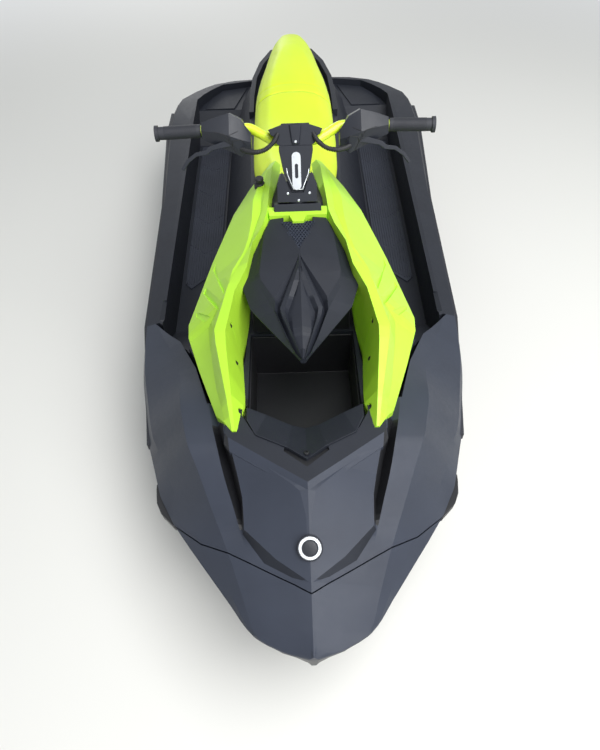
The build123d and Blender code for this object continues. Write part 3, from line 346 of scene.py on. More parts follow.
def prism(corners, low, high, mirrored=True):
    """Upright closed prism from its corners (x, distance aft), in mm."""
    outline = both(corners) if mirrored else list(corners)
    return bridged("prism", [[at(x, s, z) for x, s in outline] for z in (low, high)])


def cut(obj, tool, how="DIFFERENCE"):
    """obj after a boolean with tool, which goes afterwards."""
    step = obj.modifiers.new("cut", "BOOLEAN")
    step.operation = how
    step.solver = "EXACT"
    step.object = tool
    applied(obj)
    bpy.data.objects.remove(tool)
    return obj


def twin(obj):
    """Mirror image of obj on the other side of the boat."""
    bm = bmesh.new()
    bm.from_mesh(obj.data)
    bmesh.ops.scale(bm, vec=(-1, 1, 1), verts=bm.verts)
    bmesh.ops.reverse_faces(bm, faces=bm.faces)
    return from_bmesh(obj.name + "_twin", bm)


def joined(name, objs):
    """One object from several."""
    bm = bmesh.new()
    for obj in objs:
        bm.from_mesh(obj.data)
        bpy.data.objects.remove(obj)
    return from_bmesh(name, bm)


def duplicate(obj, name):
    new = obj.copy()
    new.data = obj.data.copy()
    new.name = name
    bpy.context.scene.collection.objects.link(new)
    return new


def paint(obj, material, chosen):
    """Gives the faces whose middle (x, s, z in mm) and normal are chosen another material."""
    obj.data.materials.append(material)
    index = len(obj.data.materials) - 1
    for face in obj.data.polygons:
        middle = face.center * 1000
        if chosen(Vector((middle.x, middle.y + HALF, middle.z)), face.normal):
            face.material_index = index


PITCH, ROLL = math.radians(52.5), math.radians(1.95)
CAMERA_AT = Vector((-0.0095, -1.704, 1.925))
LOOK = Matrix.Rotation(math.pi / 2 - PITCH, 3, "X") @ Matrix.Rotation(-ROLL, 3, "Z")
FOCUS = 600  # in pixels of the photograph
PHOTO_MIDDLE = (300, 375)


def tree_of(obj):
    """Search tree of obj's faces."""
    bm = bmesh.new()
    bm.from_mesh(obj.data)
    tree = BVHTree.FromBMesh(bm)
    bm.free()
    return tree


def seen(tree, px, py):
    """Place and normal where the line of sight through a place of the photograph meets a surface."""
    sight = LOOK @ Vector(((px - PHOTO_MIDDLE[0]) / FOCUS, (PHOTO_MIDDLE[1] - py) / FOCUS, -1))
    where, normal, *_ = tree.ray_cast(CAMERA_AT, sight)
    return where, normal


def wedge(tree, light, dark, depth):
    """Tool for a notch that starts level at the light line and is deepest at the dark line."""
    hits = [seen(tree, *pixel) for pixel in (*light, *dark[::-1])]
    normal = sum((n for _, n in hits), Vector()).normalized()
    downs = (-0.0003, -0.0003, depth / 1000, 0.6 * depth / 1000)
    low = [w - normal * down for (w, _), down in zip(hits, downs)]
    high = [w + normal * 0.03 for w, _ in hits]
    return bridged("wedge", [low, high])


def turned(where, normal, x_dir=Vector((1, 0, 0))):
    """Matrix of a frame whose z axis is normal."""
    z = normal.normalized()
    y = z.cross(x_dir).normalized()
    return Matrix.Translation(where) @ Matrix((y.cross(z), y, z)).transposed().to_4x4()


def screw_rings(bm, matrix, profile, sides=16):
    """Turned piece in bm from its profile (radius, height) in metres; a negative radius is a hexagon."""
    rows = []
    for radius, height in profile:
        ring = []
        for k in range(sides):
            angle = math.tau * k / sides
            reach = abs(radius)
            if radius < 0:
                third = math.pi / 3
                reach *= math.cos(third / 2) / math.cos((angle % third) - third / 2)
            spot = Vector((reach * math.cos(angle), reach * math.sin(angle), height))
            ring.append(bm.verts.new(matrix @ spot))
        rows.append(ring)
    for near, far in zip(rows, rows[1:]):
        for k in range(sides):
            bm.faces.new((near[k], near[(k + 1) % sides], far[(k + 1) % sides], far[k]))
    bm.faces.new(rows[-1])
    bm.faces.new(rows[0][::-1])


def mirrored_places(line):
    """Surface places of the other side."""
    return [(Vector((-w.x, w.y, w.z)), Vector((-n.x, n.y, n.z))) for w, n in line]


def bolts(name, hits, radius, height, material, body, slot):
    """Button-head bolts with a hexagon socket on the surface places (where, normal)."""
    bm = bmesh.new()
    r, h = radius / 1000, height / 1000
    button = ((r, -0.002), (r, 0.35 * h), (0.92 * r, 0.75 * h), (0.7 * r, h))
    profile = (*button, (-0.5 * r, h), (-0.5 * r, 0.35 * h))
    for where, normal in hits:
        screw_rings(bm, turned(where, normal), profile, 24)
    bmesh.ops.recalc_face_normals(bm, faces=bm.faces)
    return place(shaded(from_bmesh(name, bm)), material, body, slot)


for node, material in {
    "engine": IRON,
    "bow_eye": STEEL,
    "stern_eyes": STEEL,
    "drain_plugs": STEEL,
    "pump_housing": ALLOY,
    "impeller": STEEL,
    "venturi": ALLOY,
    "steering_nozzle": ALLOY,
    "reverse_bucket": BLACK,
    "ride_plate": ALLOY,
    "intake_grate": STEEL,
    "riser_plate": SILVER,
    "handlebar": YELLOW,
    "grips": RUBBER,
}.items():
    finish_node(node, material)

SOFT = {}
for node, material, width in (
    ("hull", HULL, 4),
    ("deck", BLACK, 4),
    ("exo_bridge", LIME, 2),
    ("badge_disc", BLACK, 1),
    ("console", DARK_PLASTIC_AND_SHADE, 4),
    ("bow_tub", DARK_PLASTIC_AND_SHADE, 2),
    ("front_bumpers", DARK_PLASTIC_AND_SHADE, 3),
    ("tail_cowl", BLACK, 4),
    ("mats", MAT, 1),
    ("step_pads", BLACK, 1),
    ("rub_rail", RUBBER, 3),
    ("steering_foot", BLACK, 2),
    ("column", BLACK, 2),
    ("riser", BLACK, 2),
    ("bar_cover", BLACK, 3),
    ("pod_port", GLOSS, 4),
    ("pod_starboard", GLOSS, 4),
    ("levers", BLACK, 2),
):
    SOFT[node] = softened(node, material, width)


# Bow: nose and hood

# Lines of the bow's top: aft, then (x, z) of deck edge, band, outer crease, channel outer edge,
# channel floor, centre panel edge, ridge shoulder and ridge
BOW = [
    (0, (12, 478), (10, 482), (8, 486), (6, 490), (4, 494), (3, 497), (2, 499), (0, 500)),
    (20, (72, 470), (71, 473), (69, 476), (44, 486), (8, 503.2), (6, 504.1), (3, 505.6), (0, 507)),
    (57, (137, 466), (135, 470), (132, 475), (84, 494), (9, 516.3), (7, 516.9), (4, 517.8), (0, 519)),
    (135, (198, 462), (184, 479), (161, 495), (114, 510), (10, 538.6), (7, 539.4), (5, 539.9), (0, 541.3)),
    (150, (209, 460.8), (190.5, 479.5), (166.5, 497.5), (120, 512.5), (6, 548.1), (4, 548.8), (2, 549.4),
     (0, 550)),
    (165, (220, 459.6), (197, 480), (172, 500), (126, 515), (44, 538), (26, 552), (5, 557), (0, 558)),
    (205, (250, 456.2), (220, 481), (186, 507), (143, 521), (110, 527), (81, 552), (6, 576), (0, 577)),
    (277, (304, 450), (268, 482), (214, 520), (166, 530), (163, 533), (156, 560), (6, 616), (0, 617)),
    (331, (342.4, 443.7), (307.1, 480.4), (236.7, 548.2), (183.2, 562.9), (166.5, 542.3), (159.1, 581.9),
     (18.5, 644.2), (0, 647.5)),
    (346, (353, 442), (318, 480), (243, 556), (188, 572), (168, 544), (160, 588), (34, 647), (0, 646.5)),
    (391, (378, 435.5), (340, 477), (261, 571), (203, 586), (182, 554), (170, 602), (90, 647), (0, 645)),
    (440, (404, 428), (362, 474), (281, 586), (217, 598), (194, 563), (183, 636), (163, 646), (0, 644)),
    (456, (409.3, 425), (370, 472.4), (288, 590), (221, 600), (199, 566), (187, 645), (186, 645.5), (0, 644)),
    (500, (424, 416.9), (392, 468), (306, 601), (232, 606), (214, 574), (206, 646), (200, 647), (0, 646)),
    (545, (438, 408.4), (408, 464), (318, 601), (243, 610), (228, 602), (212, 640), (205, 641), (0, 638)),
    (615, (462, 395), (440, 458), (335, 596), (255, 610), (240, 606), (205, 622), (195, 624), (0, 626)),
    (750, (490, 395), (472, 452), (356, 545), (262, 600), (240, 604), (205, 612), (195, 614), (0, 616)),
    (880, (514, 395), (498, 450), (400, 500), (300, 560), (240, 588), (205, 600), (195, 602), (0, 604)),
    (1060, (529, 395), (513, 449), (470, 464), (300, 450), (235, 500), (205, 560), (195, 590), (0, 600)),
    (1150, (532, 395), (516, 449), (468, 466), (320, 400), (280, 420), (215, 540), (180, 590), (0, 600)),
]
NOSE_SEAM = [(0, 127), (197, 238), (272, 277), (355, 346), (700, 346)]
HOOD_SEAM = [(248, 615), (296, 768), (369, 931), (469, 1049), (700, 1049)]
LIP = [(0, 427), (46, 463), (131, 498), (158, 546), (156, 594), (77, 553), (0, 534)]
PLATE_TOP = 657
SEAM = 1.6  # half the gap between nose and hood
FOOT_GAP = 13  # from the hood's inner edge to the deck along the arms

_, bow_lines = lines_of(BOW, (4, 5, 6, 7))
bow = skin("bow", BOW, 12, (4, 5, 6, 7))
front = [(x, s - SEAM) for x, s in NOSE_SEAM]
nose = cut(duplicate(bow, "nose_shell"), prism([(0, -50), (700, -50)] + front[::-1], 300, 900), "INTERSECT")
back = [(x + FOOT_GAP, s) for x, s in HOOD_SEAM]
hood_top = [(x, s + SEAM) for x, s in NOSE_SEAM] + back[::-1] + [(0, 615)]
hood = cut(duplicate(bow, "hood_shell"), prism(hood_top, 300, 900), "INTERSECT")
# flat raised plate ahead of the locker
plate_low = [(0, 321), (95, 384), (190, 447), (205, 470), (205, 560), (0, 560)]
plate_high = [(0, 348), (98, 413), (194, 478), (200, 490), (203, 560), (0, 560)]
plate = bridged("plate", [
    [at(x, s, PLATE_TOP - 32) for x, s in both(plate_low)],
    [at(x, s, PLATE_TOP - 17) for x, s in both(plate_low)],
    [at(x, s, PLATE_TOP) for x, s in both(plate_high)],
])
cut(hood, plate, "UNION")
cut(hood, prism([(150, 530), (150, 860)], 417, 900))
cut(hood, prism([(x + 3 if x else 0, s - 4) for x, s in LIP[:-1]] + [(0, 560)], 598, 900))
# pointed recess ahead of the locker's lip
RECESS = [(0, 388, 3), (56, 433, 8), (44, 480, 17), (0, 480, 17)]  # x, distance aft, depth below the plate
recess = [(x, s, PLATE_TOP - depth) for x, s, depth in RECESS]
recess += [(-x, s, z) for x, s, z in recess[::-1] if x]
cut(hood, bridged("recess", [[at(*place) for place in recess], [at(x, s, 900) for x, s, _ in recess]]))
for piece, name in ((nose, "nose_panel"), (hood, "hood")):
    rounded(piece, 1.6, 2, 8, 30)
    place(piece, SLATE, "boat", "deck_slate", [name])
bpy.data.objects.remove(bow)


def channel_shade(middle, normal):
    """Channels beside the centre panel, painted darkest as painted shade in their recess."""
    crease, panel = (bow_lines[i][0](middle.y) for i in (3, 5))
    return 290 < middle.y < 545 and panel + 1 < abs(middle.x) < crease - 1 and middle.z > 500


def round_badge(middle, normal):
    """Steep faces of the step behind the badge."""
    inside = 150 < middle.y < 275 and 20 < abs(middle.x) < 160 and 535 < middle.z < 560
    return inside and normal.z < 0.78


def plate_face(middle, normal):
    """Level top of the raised plate."""
    return middle.y > 345 and abs(middle.x) < 205 and middle.z > PLATE_TOP - 0.8 and normal.z > 0.97


def recess_shade(middle, normal):
    """Floor of the pointed recess, painted darkest as painted shade."""
    point = 388 + 0.75 * abs(middle.x)
    return point < middle.y < 482 and abs(middle.x) < 56 and middle.z < PLATE_TOP - 1


def under_lip_shade(middle, normal):
    """Faces below the locker's lip, painted darkest as painted shade under it."""
    return middle.y > 480 and abs(middle.x) < 176 and middle.z < PLATE_TOP - 2


# the channels, the recess's floor and the faces below the lip take the darkest plastic as painted shade
for material, chosen in (
    (DARK_PLASTIC_AND_SHADE, channel_shade),
    (BLACK, round_badge),
    (BLACK, plate_face),
    (DARK_PLASTIC_AND_SHADE, recess_shade),
    (DARK_PLASTIC_AND_SHADE, under_lip_shade),
):
    paint(hood, material, chosen)

# plain ring and boss on the round badge
BADGE_UP = Vector((0, -0.486, 0.874))
badge = turned(at(0, 218, 581) + BADGE_UP * 0.008, BADGE_UP)
for name, profile, material in (
    ("badge_ring", ((0.019, -0.001), (0.0196, 0.0008), (0.0262, 0.0008), (0.0268, -0.001)), SILVER),
    ("badge_boss", ((0.0165, -0.001), (0.016, 0.0006), (0.010, 0.0014), (0.001, 0.0016)), GLOSS),
):
    bm = bmesh.new()
    screw_rings(bm, badge, profile, 48)
    place(shaded(from_bmesh(name, bm)), material, "boat", "control_plastic")

# cover of the locker's lip: port corners of its top (x, aft, z), from its front point backwards
top = {
    "a": (0, 405, 665), "b": (46, 439, 663), "c": (125, 479, 662), "d": (148, 524, 661), "e": (150, 566, 659),
    "e2": (100, 553, 640), "g2": (34, 530, 620), "g": (0, 528, 608),
}
faces = [("a", "b", "g2", "g"), ("b", "c", "e2", "g2"), ("c", "d", "e", "e2")]
rim = ["a", "b", "c", "d", "e", "e2", "g2", "g"]
bm = bmesh.new()
for side in (1, -1):
    tops = {k: bm.verts.new(at(side * x, s, z)) for k, (x, s, z) in top.items()}
    lows = {k: bm.verts.new(at(side * x, s, 602)) for k, (x, s, z) in top.items()}
    for face in faces:
        bm.faces.new([tops[k] for k in face])
    bm.faces.new([lows[k] for k in rim])
    for one, two in zip(rim, rim[1:]):
        bm.faces.new((tops[one], tops[two], lows[two], lows[one]))
bmesh.ops.remove_doubles(bm, verts=bm.verts, dist=1e-5)
bmesh.ops.recalc_face_normals(bm, faces=bm.faces)
lip = from_bmesh("lip_shell", bm)
rounded(lip, 2.5, 2, 5, 26)
place(lip, BLACK, "boat", "deck_slate", ["lip_cover"])
lip_bolt = (at(0, 423, 662), Vector((0, 0.3, 1)))
bolts("lip_bolt", [lip_bolt], 6.5, 3, DARK_PLASTIC_AND_SHADE, "boat", "control_plastic")

# Framed arms

arm_port = crisp(
    "arm_port_shell",
    # outer foot and outer edge
    [(492, 183, 630), (525, 206, 620), (559, 228, 594), (610, 243, 576), (706, 280, 580), (804, 312, 594),
     (842, 312, 608), (965, 276, 650), (1060, 238, 680), (1170, 194, 710), (1286, 138, 740),
     (1325, 104, 760)],
    [(492, 184, 659), (525, 208, 658), (559, 231, 632), (706, 285, 634), (804, 318, 660), (842, 319, 672),
     (1027, 255, 734), (1192, 194, 779), (1286, 146, 800), (1325, 108, 822)],
    # crease of the flank, which becomes the valley's outer side
    [(492, 184, 660), (525, 203, 663), (627, 230.5, 665), (744, 249.5, 703), (792, 254, 714),
     (815, 210, 794), (850, 196, 809), (900, 181, 822), (955, 151, 838), (1001, 139, 846), (1074, 130, 853),
     (1154, 128, 859), (1200, 118, 860), (1286, 92, 864), (1325, 78, 864)],
    # valley and crest
    [(492, 183.5, 662), (566, 196.7, 696), (686, 221, 768), (724, 226, 780), (849, 193, 814.6),
     (893, 173, 823), (962, 138, 842), (1035, 120.5, 850), (1095, 106, 857), (1154, 104, 861),
     (1200, 98, 864), (1286, 88, 867), (1325, 75, 865)],
    [(492, 183, 662), (566, 196, 697), (686, 220, 769), (724, 225, 781), (849, 192, 816), (893, 170, 830),
     (962, 134, 849), (1035, 117, 857), (1095, 100, 865), (1154, 96, 868), (1200, 91, 869), (1286, 84, 869),
     (1325, 73, 867)],
    [(492, 176, 664), (558, 183, 696), (679, 194, 776), (714, 195, 791), (821, 173, 820), (885, 140, 846),
     (960, 126, 862), (1025, 98, 872), (1075, 86, 876), (1170, 80, 878), (1286, 72, 878), (1325, 62, 872)],
    # inner edge and inner foot
    [(492, 172, 659), (573, 154, 646), (620, 157, 630), (765, 169, 612), (843, 159, 652), (879, 143, 695),
     (965, 126, 790), (1060, 80, 840), (1170, 72, 852), (1286, 50, 856), (1325, 48, 858)],
    [(492, 172, 630), (573, 158, 610), (620, 162, 576), (765, 172, 580), (866, 152, 632), (965, 132, 740),
     (1060, 96, 780), (1170, 86, 790), (1286, 64, 800), (1325, 56, 810)],
    mirrored=False,
)
arm_starboard = twin(arm_port)
arm_tree = tree_of(arm_starboard)
# light and dark line of each chevron, bolts and lanyard post, in pixels of the photograph
CHEVRONS = (
    (((216, 262.5), (228.5, 281.5)), ((213.5, 271), (223.5, 294))),
    (((206.5, 288), (220.5, 300.5)), ((203.5, 293.5), (218.5, 311))),
    (((196, 312.5), (215.5, 318)), ((196, 316.6), (214.3, 328.6))),
)
CHEVRON_DEPTH = 5
ARM_BOLTS = ((231.3, 324.8), (237.2, 362), (240.2, 410.8))
LANYARD = (259.5, 184)
for light, dark in CHEVRONS:
    cut(arm_starboard, wedge(arm_tree, light, dark, CHEVRON_DEPTH))
arm_bolts = [seen(arm_tree, *pixel) for pixel in ARM_BOLTS]
arm_bolts = [(where, (normal + 0.8 * UP).normalized()) for where, normal in arm_bolts]
for where, normal in arm_bolts:
    bm = bmesh.new()
    screw_rings(bm, turned(where, normal), ((0.0075, -0.006), (0.0085, 0.03)), 16)
    cut(arm_starboard, from_bmesh("hole", bm))
bpy.data.objects.remove(arm_port)
arm_port = twin(arm_starboard)
for piece, name in ((arm_port, "arm_port"), (arm_starboard, "arm_starboard")):
    piece.name = name + "_shell"
    rounded(piece, 1.8, 2, 5, 24)
    place(piece, LIME, "boat", "lime", [name])

# lanyard post on the starboard arm
bm = bmesh.new()
profile = ((0.016, -0.012), (0.016, 0.003), (0.0135, 0.006), (0.0105, 0.007), (0.0105, 0.011), (0.013, 0.013),
           (0.013, 0.019), (0.0105, 0.0215))
knob, _ = seen(arm_tree, *LANYARD)
screw_rings(bm, turned(knob, UP), profile, 24)
post = shaded(from_bmesh("lanyard_knob", bm))
place(post, DARK_PLASTIC_AND_SHADE, "boat", "control_plastic", ["lanyard_post"])
arm_bolts = [(where - normal * 0.006, normal) for where, normal in arm_bolts]
arm_bolts += mirrored_places(arm_bolts)
bolts("arm_bolts", arm_bolts, 7.2, 3, DARK_PLASTIC_AND_SHADE, "boat", "control_plastic")

# Beak

beak = crisp(
    "beak_shell",
    [(640, 6, 737), (659, 18, 738), (791, 120, 752), (865, 143, 772), (1062, 72, 826)],
    [(640, 8, 747), (659, 23, 750), (791, 134, 780), (865, 158, 796), (1062, 89, 850)],
    # bevel
    [(640, 7, 752), (659, 21.5, 757), (763, 70, 803), (860, 119.5, 818), (886, 121.5, 822), (1036, 99, 841),
     (1062, 80, 853)],
    [(640, 6.5, 753), (659, 21, 758.5), (763, 69.4, 805.5), (791, 69.2, 819), (855, 104.5, 826),
     (876, 108, 832), (1010, 96, 849), (1062, 78, 858)],
    # groove round the diamond: outer edge and floor
    [(640, 6, 754), (657, 20, 758.5), (692, 40, 778), (760, 68.6, 806), (792, 67.5, 820), (905, 4, 857),
     (913, 3, 858.4), (1062, 3, 867.8)],
    [(640, 5, 748), (657, 16, 749), (692, 35, 763), (760, 61, 790), (786, 57, 804), (898, 4, 851),
     (913, 2.8, 858.4), (1062, 2.8, 867.8)],
    # raised rim
    [(640, 4.5, 754), (646, 5.5, 758), (742, 50, 804), (762, 54.5, 812), (898, 3.5, 856), (913, 2.4, 858.4),
     (1062, 2.4, 867.8)],
    [(640, 3.4, 756), (663, 12, 769), (732, 39, 806), (756, 43.5, 814), (872, 3, 856), (913, 2, 858.4),
     (1062, 2, 867.8)],
    # pocket's floor, drop and middle
    [(640, 3, 754), (663, 10, 762), (704, 27, 783), (732, 33, 792), (755, 35, 799), (832, 2.6, 843),
     (890, 2, 856), (913, 1.6, 858.4), (1062, 1.6, 867.8)],
    [(640, 2.4, 755), (663, 6, 764), (699, 21, 783), (708, 23, 792), (745, 25, 802), (832, 2.2, 846),
     (890, 1.6, 856.4), (913, 1.2, 858.4), (1062, 1.2, 867.8)],
    [(640, 0, 757), (699, 0, 790), (708, 0, 802), (745, 0, 816), (832, 0, 848), (890, 0, 856.6),
     (913, 0, 858.5), (931, 0, 859.6), (1062, 0, 868)],
)
MESH_TRIANGLE = [(0, 931), (41, 1041), (41, 1080), (0, 1080)]
cut(beak, prism(MESH_TRIANGLE, 846, 1200))
rounded(beak, 1.4, 2, 6, 26)
place(beak, BLACK, "boat", "deck_slate", ["beak"])
# the faces in the hole under the honeycomb take the darkest plastic as painted shade in the hole
paint(beak, DARK_PLASTIC_AND_SHADE, lambda m, n: m.y > 933 and abs(m.x) < 0.38 * (m.y - 930) and m.z < 850)

# honeycomb in the beak's triangle
CELL = 9.2
ROW = CELL * math.sqrt(3) / 2
bm = bmesh.new()
for row in range(16):
    s = 935 + row * ROW
    for column in range(-5, 6):
        x = (column + 0.5 * (row % 2)) * CELL
        if abs(x) > 0.375 * (s - 931) + 3 or s > 1045:
            continue
        rings = []
        top = 856 + 0.07 * (s - 935)
        for share, z in ((1, top), (0.62, top), (0.58, top - 5)):
            reach = share * CELL / math.sqrt(3)
            angles = [math.radians(30 + 60 * k) for k in range(6)]
            corners = [at(x + reach * math.cos(a), s + reach * math.sin(a), z) for a in angles]
            rings.append([bm.verts.new(corner) for corner in corners])
        for near, far in zip(rings, rings[1:]):
            for k in range(6):
                bm.faces.new((near[k], near[(k + 1) % 6], far[(k + 1) % 6], far[k]))
bmesh.ops.remove_doubles(bm, verts=bm.verts, dist=1e-4)
bmesh.ops.recalc_face_normals(bm, faces=bm.faces)
comb = from_bmesh("beak_honeycomb", bm)
place(comb, SLATE, "boat", "control_plastic", ["beak_vent"])


# Seat

# share of its length, then (x, z over its foot) of foot, widest edge, shoulder and crown
SEAT = [
    (0, (100, 0), (118, 94), (80, 164), (0, 170)),
    (0.16, (130, 0), (150, 84), (100, 132), (0, 139)),
    (0.32, (132, 0), (154, 79), (105, 122), (0, 129)),
    (0.51, (130, 0), (152, 84), (100, 142), (0, 150)),
    (0.63, (118, 0), (140, 94), (85, 158), (0, 166)),
    (0.77, (88, 0), (112, 104), (60, 166), (0, 174)),
    (0.9, (62, 0), (86, 109), (44, 156), (0, 164)),
    (1, (26, 0), (46, 109), (22, 136), (0, 139)),
]
SEAT_START, SEAT_LONG, SEAT_FOOT = 1400, 1105, 606.3
rows = []
for share, foot, edge, shoulder, crown in SEAT:
    low = (edge[0] + 1, 0.4 * edge[1])
    round_off = ((edge[0] + shoulder[0]) / 2 + 11, (edge[1] + shoulder[1]) / 2 + 8)
    widest = (edge[0] + 7, edge[1])
    corners = (foot, low, widest, round_off, (shoulder[0], shoulder[1] + 3), (0, crown[1] + 1))
    rows.append((SEAT_START + share * SEAT_LONG, *[(x, SEAT_FOOT + up) for x, up in corners]))
seat = skin("seat_cushion", rows, 30)


def padded(obj, voxel, shrink, pressure, cap, pinned):
    """obj as a stuffed form: remeshed, blown up by the cloth solver, moved by at most cap mm."""
    step = obj.modifiers.new("remesh", "REMESH")
    step.mode = "VOXEL"
    step.voxel_size = voxel
    applied(obj)
    smooth = obj.modifiers.new("smooth", "CORRECTIVE_SMOOTH")
    smooth.use_only_smooth = True
    smooth.iterations = 8
    applied(obj)
    home = [v.co.copy() for v in obj.data.vertices]
    normals = [v.normal.copy() for v in obj.data.vertices]
    group = obj.vertex_groups.new(name="held")
    held = [pinned(v.co) for v in obj.data.vertices]
    group.add([i for i, hold in enumerate(held) if hold], 1, "REPLACE")
    for v, n, hold in zip(obj.data.vertices, normals, held):
        if not hold:
            v.co = v.co - n * shrink
    cloth = obj.modifiers.new("cloth", "CLOTH")
    settings = cloth.settings
    settings.use_pressure = True
    settings.uniform_pressure_force = pressure
    settings.effector_weights.gravity = 0
    settings.vertex_group_mass = "held"
    settings.quality = 5
    settings.mass = 0.3
    settings.tension_stiffness = settings.compression_stiffness = 12
    scene = bpy.context.scene
    for frame_number in range(1, 21):
        scene.frame_set(frame_number)
    applied(obj)
    scene.frame_set(1)
    for v, was in zip(obj.data.vertices, home):
        move = v.co - was
        if move.length > cap / 1000:
            v.co = was + move.normalized() * cap / 1000
    finer = obj.modifiers.new("subdivision", "SUBSURF")
    finer.levels = finer.render_levels = 1
    return applied(obj)


padded(seat, voxel=0.008, shrink=0.005, pressure=4, cap=7, pinned=lambda co: co.z < (SEAT_FOOT + 10) / 1000)

# sewn seams: the pixel lines of the photograph give their run across, port and starboard alike
SEAM_LINES = [
    [(259, 103), (264, 98.5), (270, 95), (282, 91.5), (295, 91)],
    [(264, 91), (270, 87.5), (281, 84), (295, 83)],
]


def distance_to(line, spot):
    """Shortest distance from spot to a line of points, in metres."""
    lengths = []
    for a, b in zip(line, line[1:]):
        share = max(0, min(1, (spot - a).dot(b - a) / (b - a).length_squared))
        lengths.append((spot - (a + (b - a) * share)).length)
    return min(lengths)


def sewn(obj, line, width, depth):
    """Presses a seam into obj: line is its run as (x, y) seen from above, mirrored, in metres."""
    line = [Vector(p) for p in line]
    line += [Vector((-p.x, p.y)) for p in line[-2::-1]]
    for v in obj.data.vertices:
        if v.co.z < (SEAT_FOOT + 30) / 1000:
            continue
        near = distance_to(line, v.co.xy)
        if near < 3 * width:
            v.co = v.co - v.normal * depth * math.exp(-((near / width) ** 2))


def tube(name, points, radius, sides=8):
    """Thin closed cord along points."""
    rings = []
    for i, point in enumerate(points):
        along = (points[min(i + 1, len(points) - 1)] - points[max(i - 1, 0)]).normalized()
        frame_at = turned(point, along, Vector((0.13, 0.21, 1)))
        r = radius(i) if callable(radius) else radius
        rings.append([frame_at @ Vector((r * math.cos(a), r * math.sin(a), 0)) for a in
                      [math.tau * k / sides for k in range(sides)]])
    obj = bridged(name, rings)
    obj.data.shade_smooth()
    return obj


def over(tree, line, lift, step=0.006):
    """Points on the surface below a line seen from above."""
    points = []
    for a, b in zip(line, line[1:]):
        count = max(1, round((b - a).length / step))
        for k in range(count + (b is line[-1])):
            spot = a.lerp(b, k / count)
            where, normal, *_ = tree.ray_cast(Vector((spot.x, spot.y, 2)), -UP)
            if where:
                points.append(where + normal * lift)
    return points


SEAM_DEPTHS = (0.004, 0.0018)  # metres, like the two below
SEAM_WIDE, SEAM_RUN_OUT = 0.0042, 0.04

tree = tree_of(seat)
seam_runs = []
for pixels, depth in zip(SEAM_LINES, SEAM_DEPTHS):
    line = [seen(tree, *pixel)[0].xy for pixel in pixels]
    line = [Vector((-abs(p.x), p.y)) for p in line[:-1]] + [Vector((0, line[-1].y))]
    first, second = line[0], line[1]
    line = [first + (first - second).normalized() * SEAM_RUN_OUT, *line]
    sewn(seat, line, SEAM_WIDE, depth)
    seam_runs.append(line + [Vector((-p.x, p.y)) for p in line[-2::-1]])
seat.data.shade_smooth()
tree = tree_of(seat)
piping = tube("seat_piping", over(tree, seam_runs[0], 0.0002), 0.0015)
place(piping, PIPING, "boat", "seat_vinyl")
place(seat, VINYL, "boat", "seat_vinyl", ["seat"])

# Steering

# column bolts, split lines of the port pod and edge of the riser's tongue, in pixels of the photograph
COLUMN_BOLTS = ((287.9, 193.5), (309.6, 192.8), (298.8, 200.4))
POD_SEAMS = (
    ((391, 119.5), (377, 126), (363, 133.5), (355, 148)),
    ((362, 133.5), (353, 127.5)),
    ((359, 139.5), (346, 141)),
)
TONGUE_EDGE = ((286.5, 168), (287.4, 174), (293.6, 189.2), (302.4, 189.2), (308, 174), (309, 168))

column_tree = tree_of(SOFT["column"])
hits = [seen(column_tree, *pixel) for pixel in COLUMN_BOLTS]
bolts("column_bolts", hits, 3.6, 2, SILVER, "steering", "riser_metal")

# split lines of the control pods
pod_tree = tree_of(SOFT["pod_port"])
seams = []
for number, pixels in enumerate(POD_SEAMS):
    line = [seen(pod_tree, *pixel) for pixel in pixels]
    line = [where + normal * 0.0002 for where, normal in line if where]
    if len(line) > 1:
        seams.append(tube("pod_seam%d" % number, over(pod_tree, line, 0.0002, 0.003), 0.0009))
if seams:
    seam = joined("pod_seams_port", seams)
    other = twin(seam)
    other.name = "pod_seams_starboard"
    place(seam, DARK_PLASTIC_AND_SHADE, "bars", "control_plastic")
    place(other, DARK_PLASTIC_AND_SHADE, "bars", "control_plastic")

# centre rib of the bar's cover
rib_low = [(-10, 181), (10, 181), (14, 205), (17, 231), (-17, 231), (-14, 205)]
rib = bridged("cover_rib", [[col(share * x, -aft, 206 + (up - 206) * (0.5 + share / 2)) for x, up in rib_low]
                            for aft, share in ((26, 1), (30, 1), (33, 0.8))])
rounded(rib, 0.8, 2, 14, 30)
place(rib, BLACK, "bars", "control_plastic")
bolts("cover_bolt", [(col(0, -33, 188), -COLUMN_AFT)], 3.8, 2.4, SILVER, "bars", "riser_metal")

# bright edging of the riser's tongue
tongue_tree = tree_of(SOFT["riser"])
edging = [seen(tongue_tree, *pixel) for pixel in TONGUE_EDGE]
edging = [where + normal * 0.0006 for where, normal in edging if where]
if len(edging) > 2:
    place(tube("tongue_edging", edging, 0.0013), SILVER, "bars", "riser_metal")

# flutes of the grips' rubber: rings in metres, the first and last a little inside the grip's ends
GRIP_RINGS, GRIP_START, GRIP_ENDS = 30, 0.012, 0.03
GRIP_RING = ((0.0168, -0.0012), (0.0178, -0.0006), (0.0178, 0.0006), (0.0168, 0.0012))
for side, name in ((1, "port"), (-1, "starboard")):
    mesh = NODES["grips"].data
    points = [v.co for v in mesh.vertices if v.co.x * side > 0]
    far = max(abs(p.x) for p in points)
    near = min(abs(p.x) for p in points)
    ends = []
    for edge in (near, far):
        ring = [p for p in points if abs(abs(p.x) - edge) < 0.012]
        ends.append(sum(ring, Vector()) / len(ring))
    start, end = ends
    axis = (end - start).normalized()
    bm = bmesh.new()
    for k in range(GRIP_RINGS):
        middle = start + axis * (GRIP_START + k * ((end - start).length - GRIP_ENDS) / GRIP_RINGS)
        screw_rings(bm, turned(middle, axis), GRIP_RING, 28)
    ribs = shaded(from_bmesh("grip_ribs_" + name, bm), 35)
    place(ribs, RUBBER, "bars", "grip_rubber")

# corrugated conduits from the bar's cover to the pods
ROUTE = [(48, -24, 208), (58, -38, 190), (80, -46, 172), (106, -43, 165), (130, -26, 167), (150, -6, 174)]
CONDUIT_R = 0.0068
CONDUIT_STEP = 0.0011  # metres; four steps make one corrugation


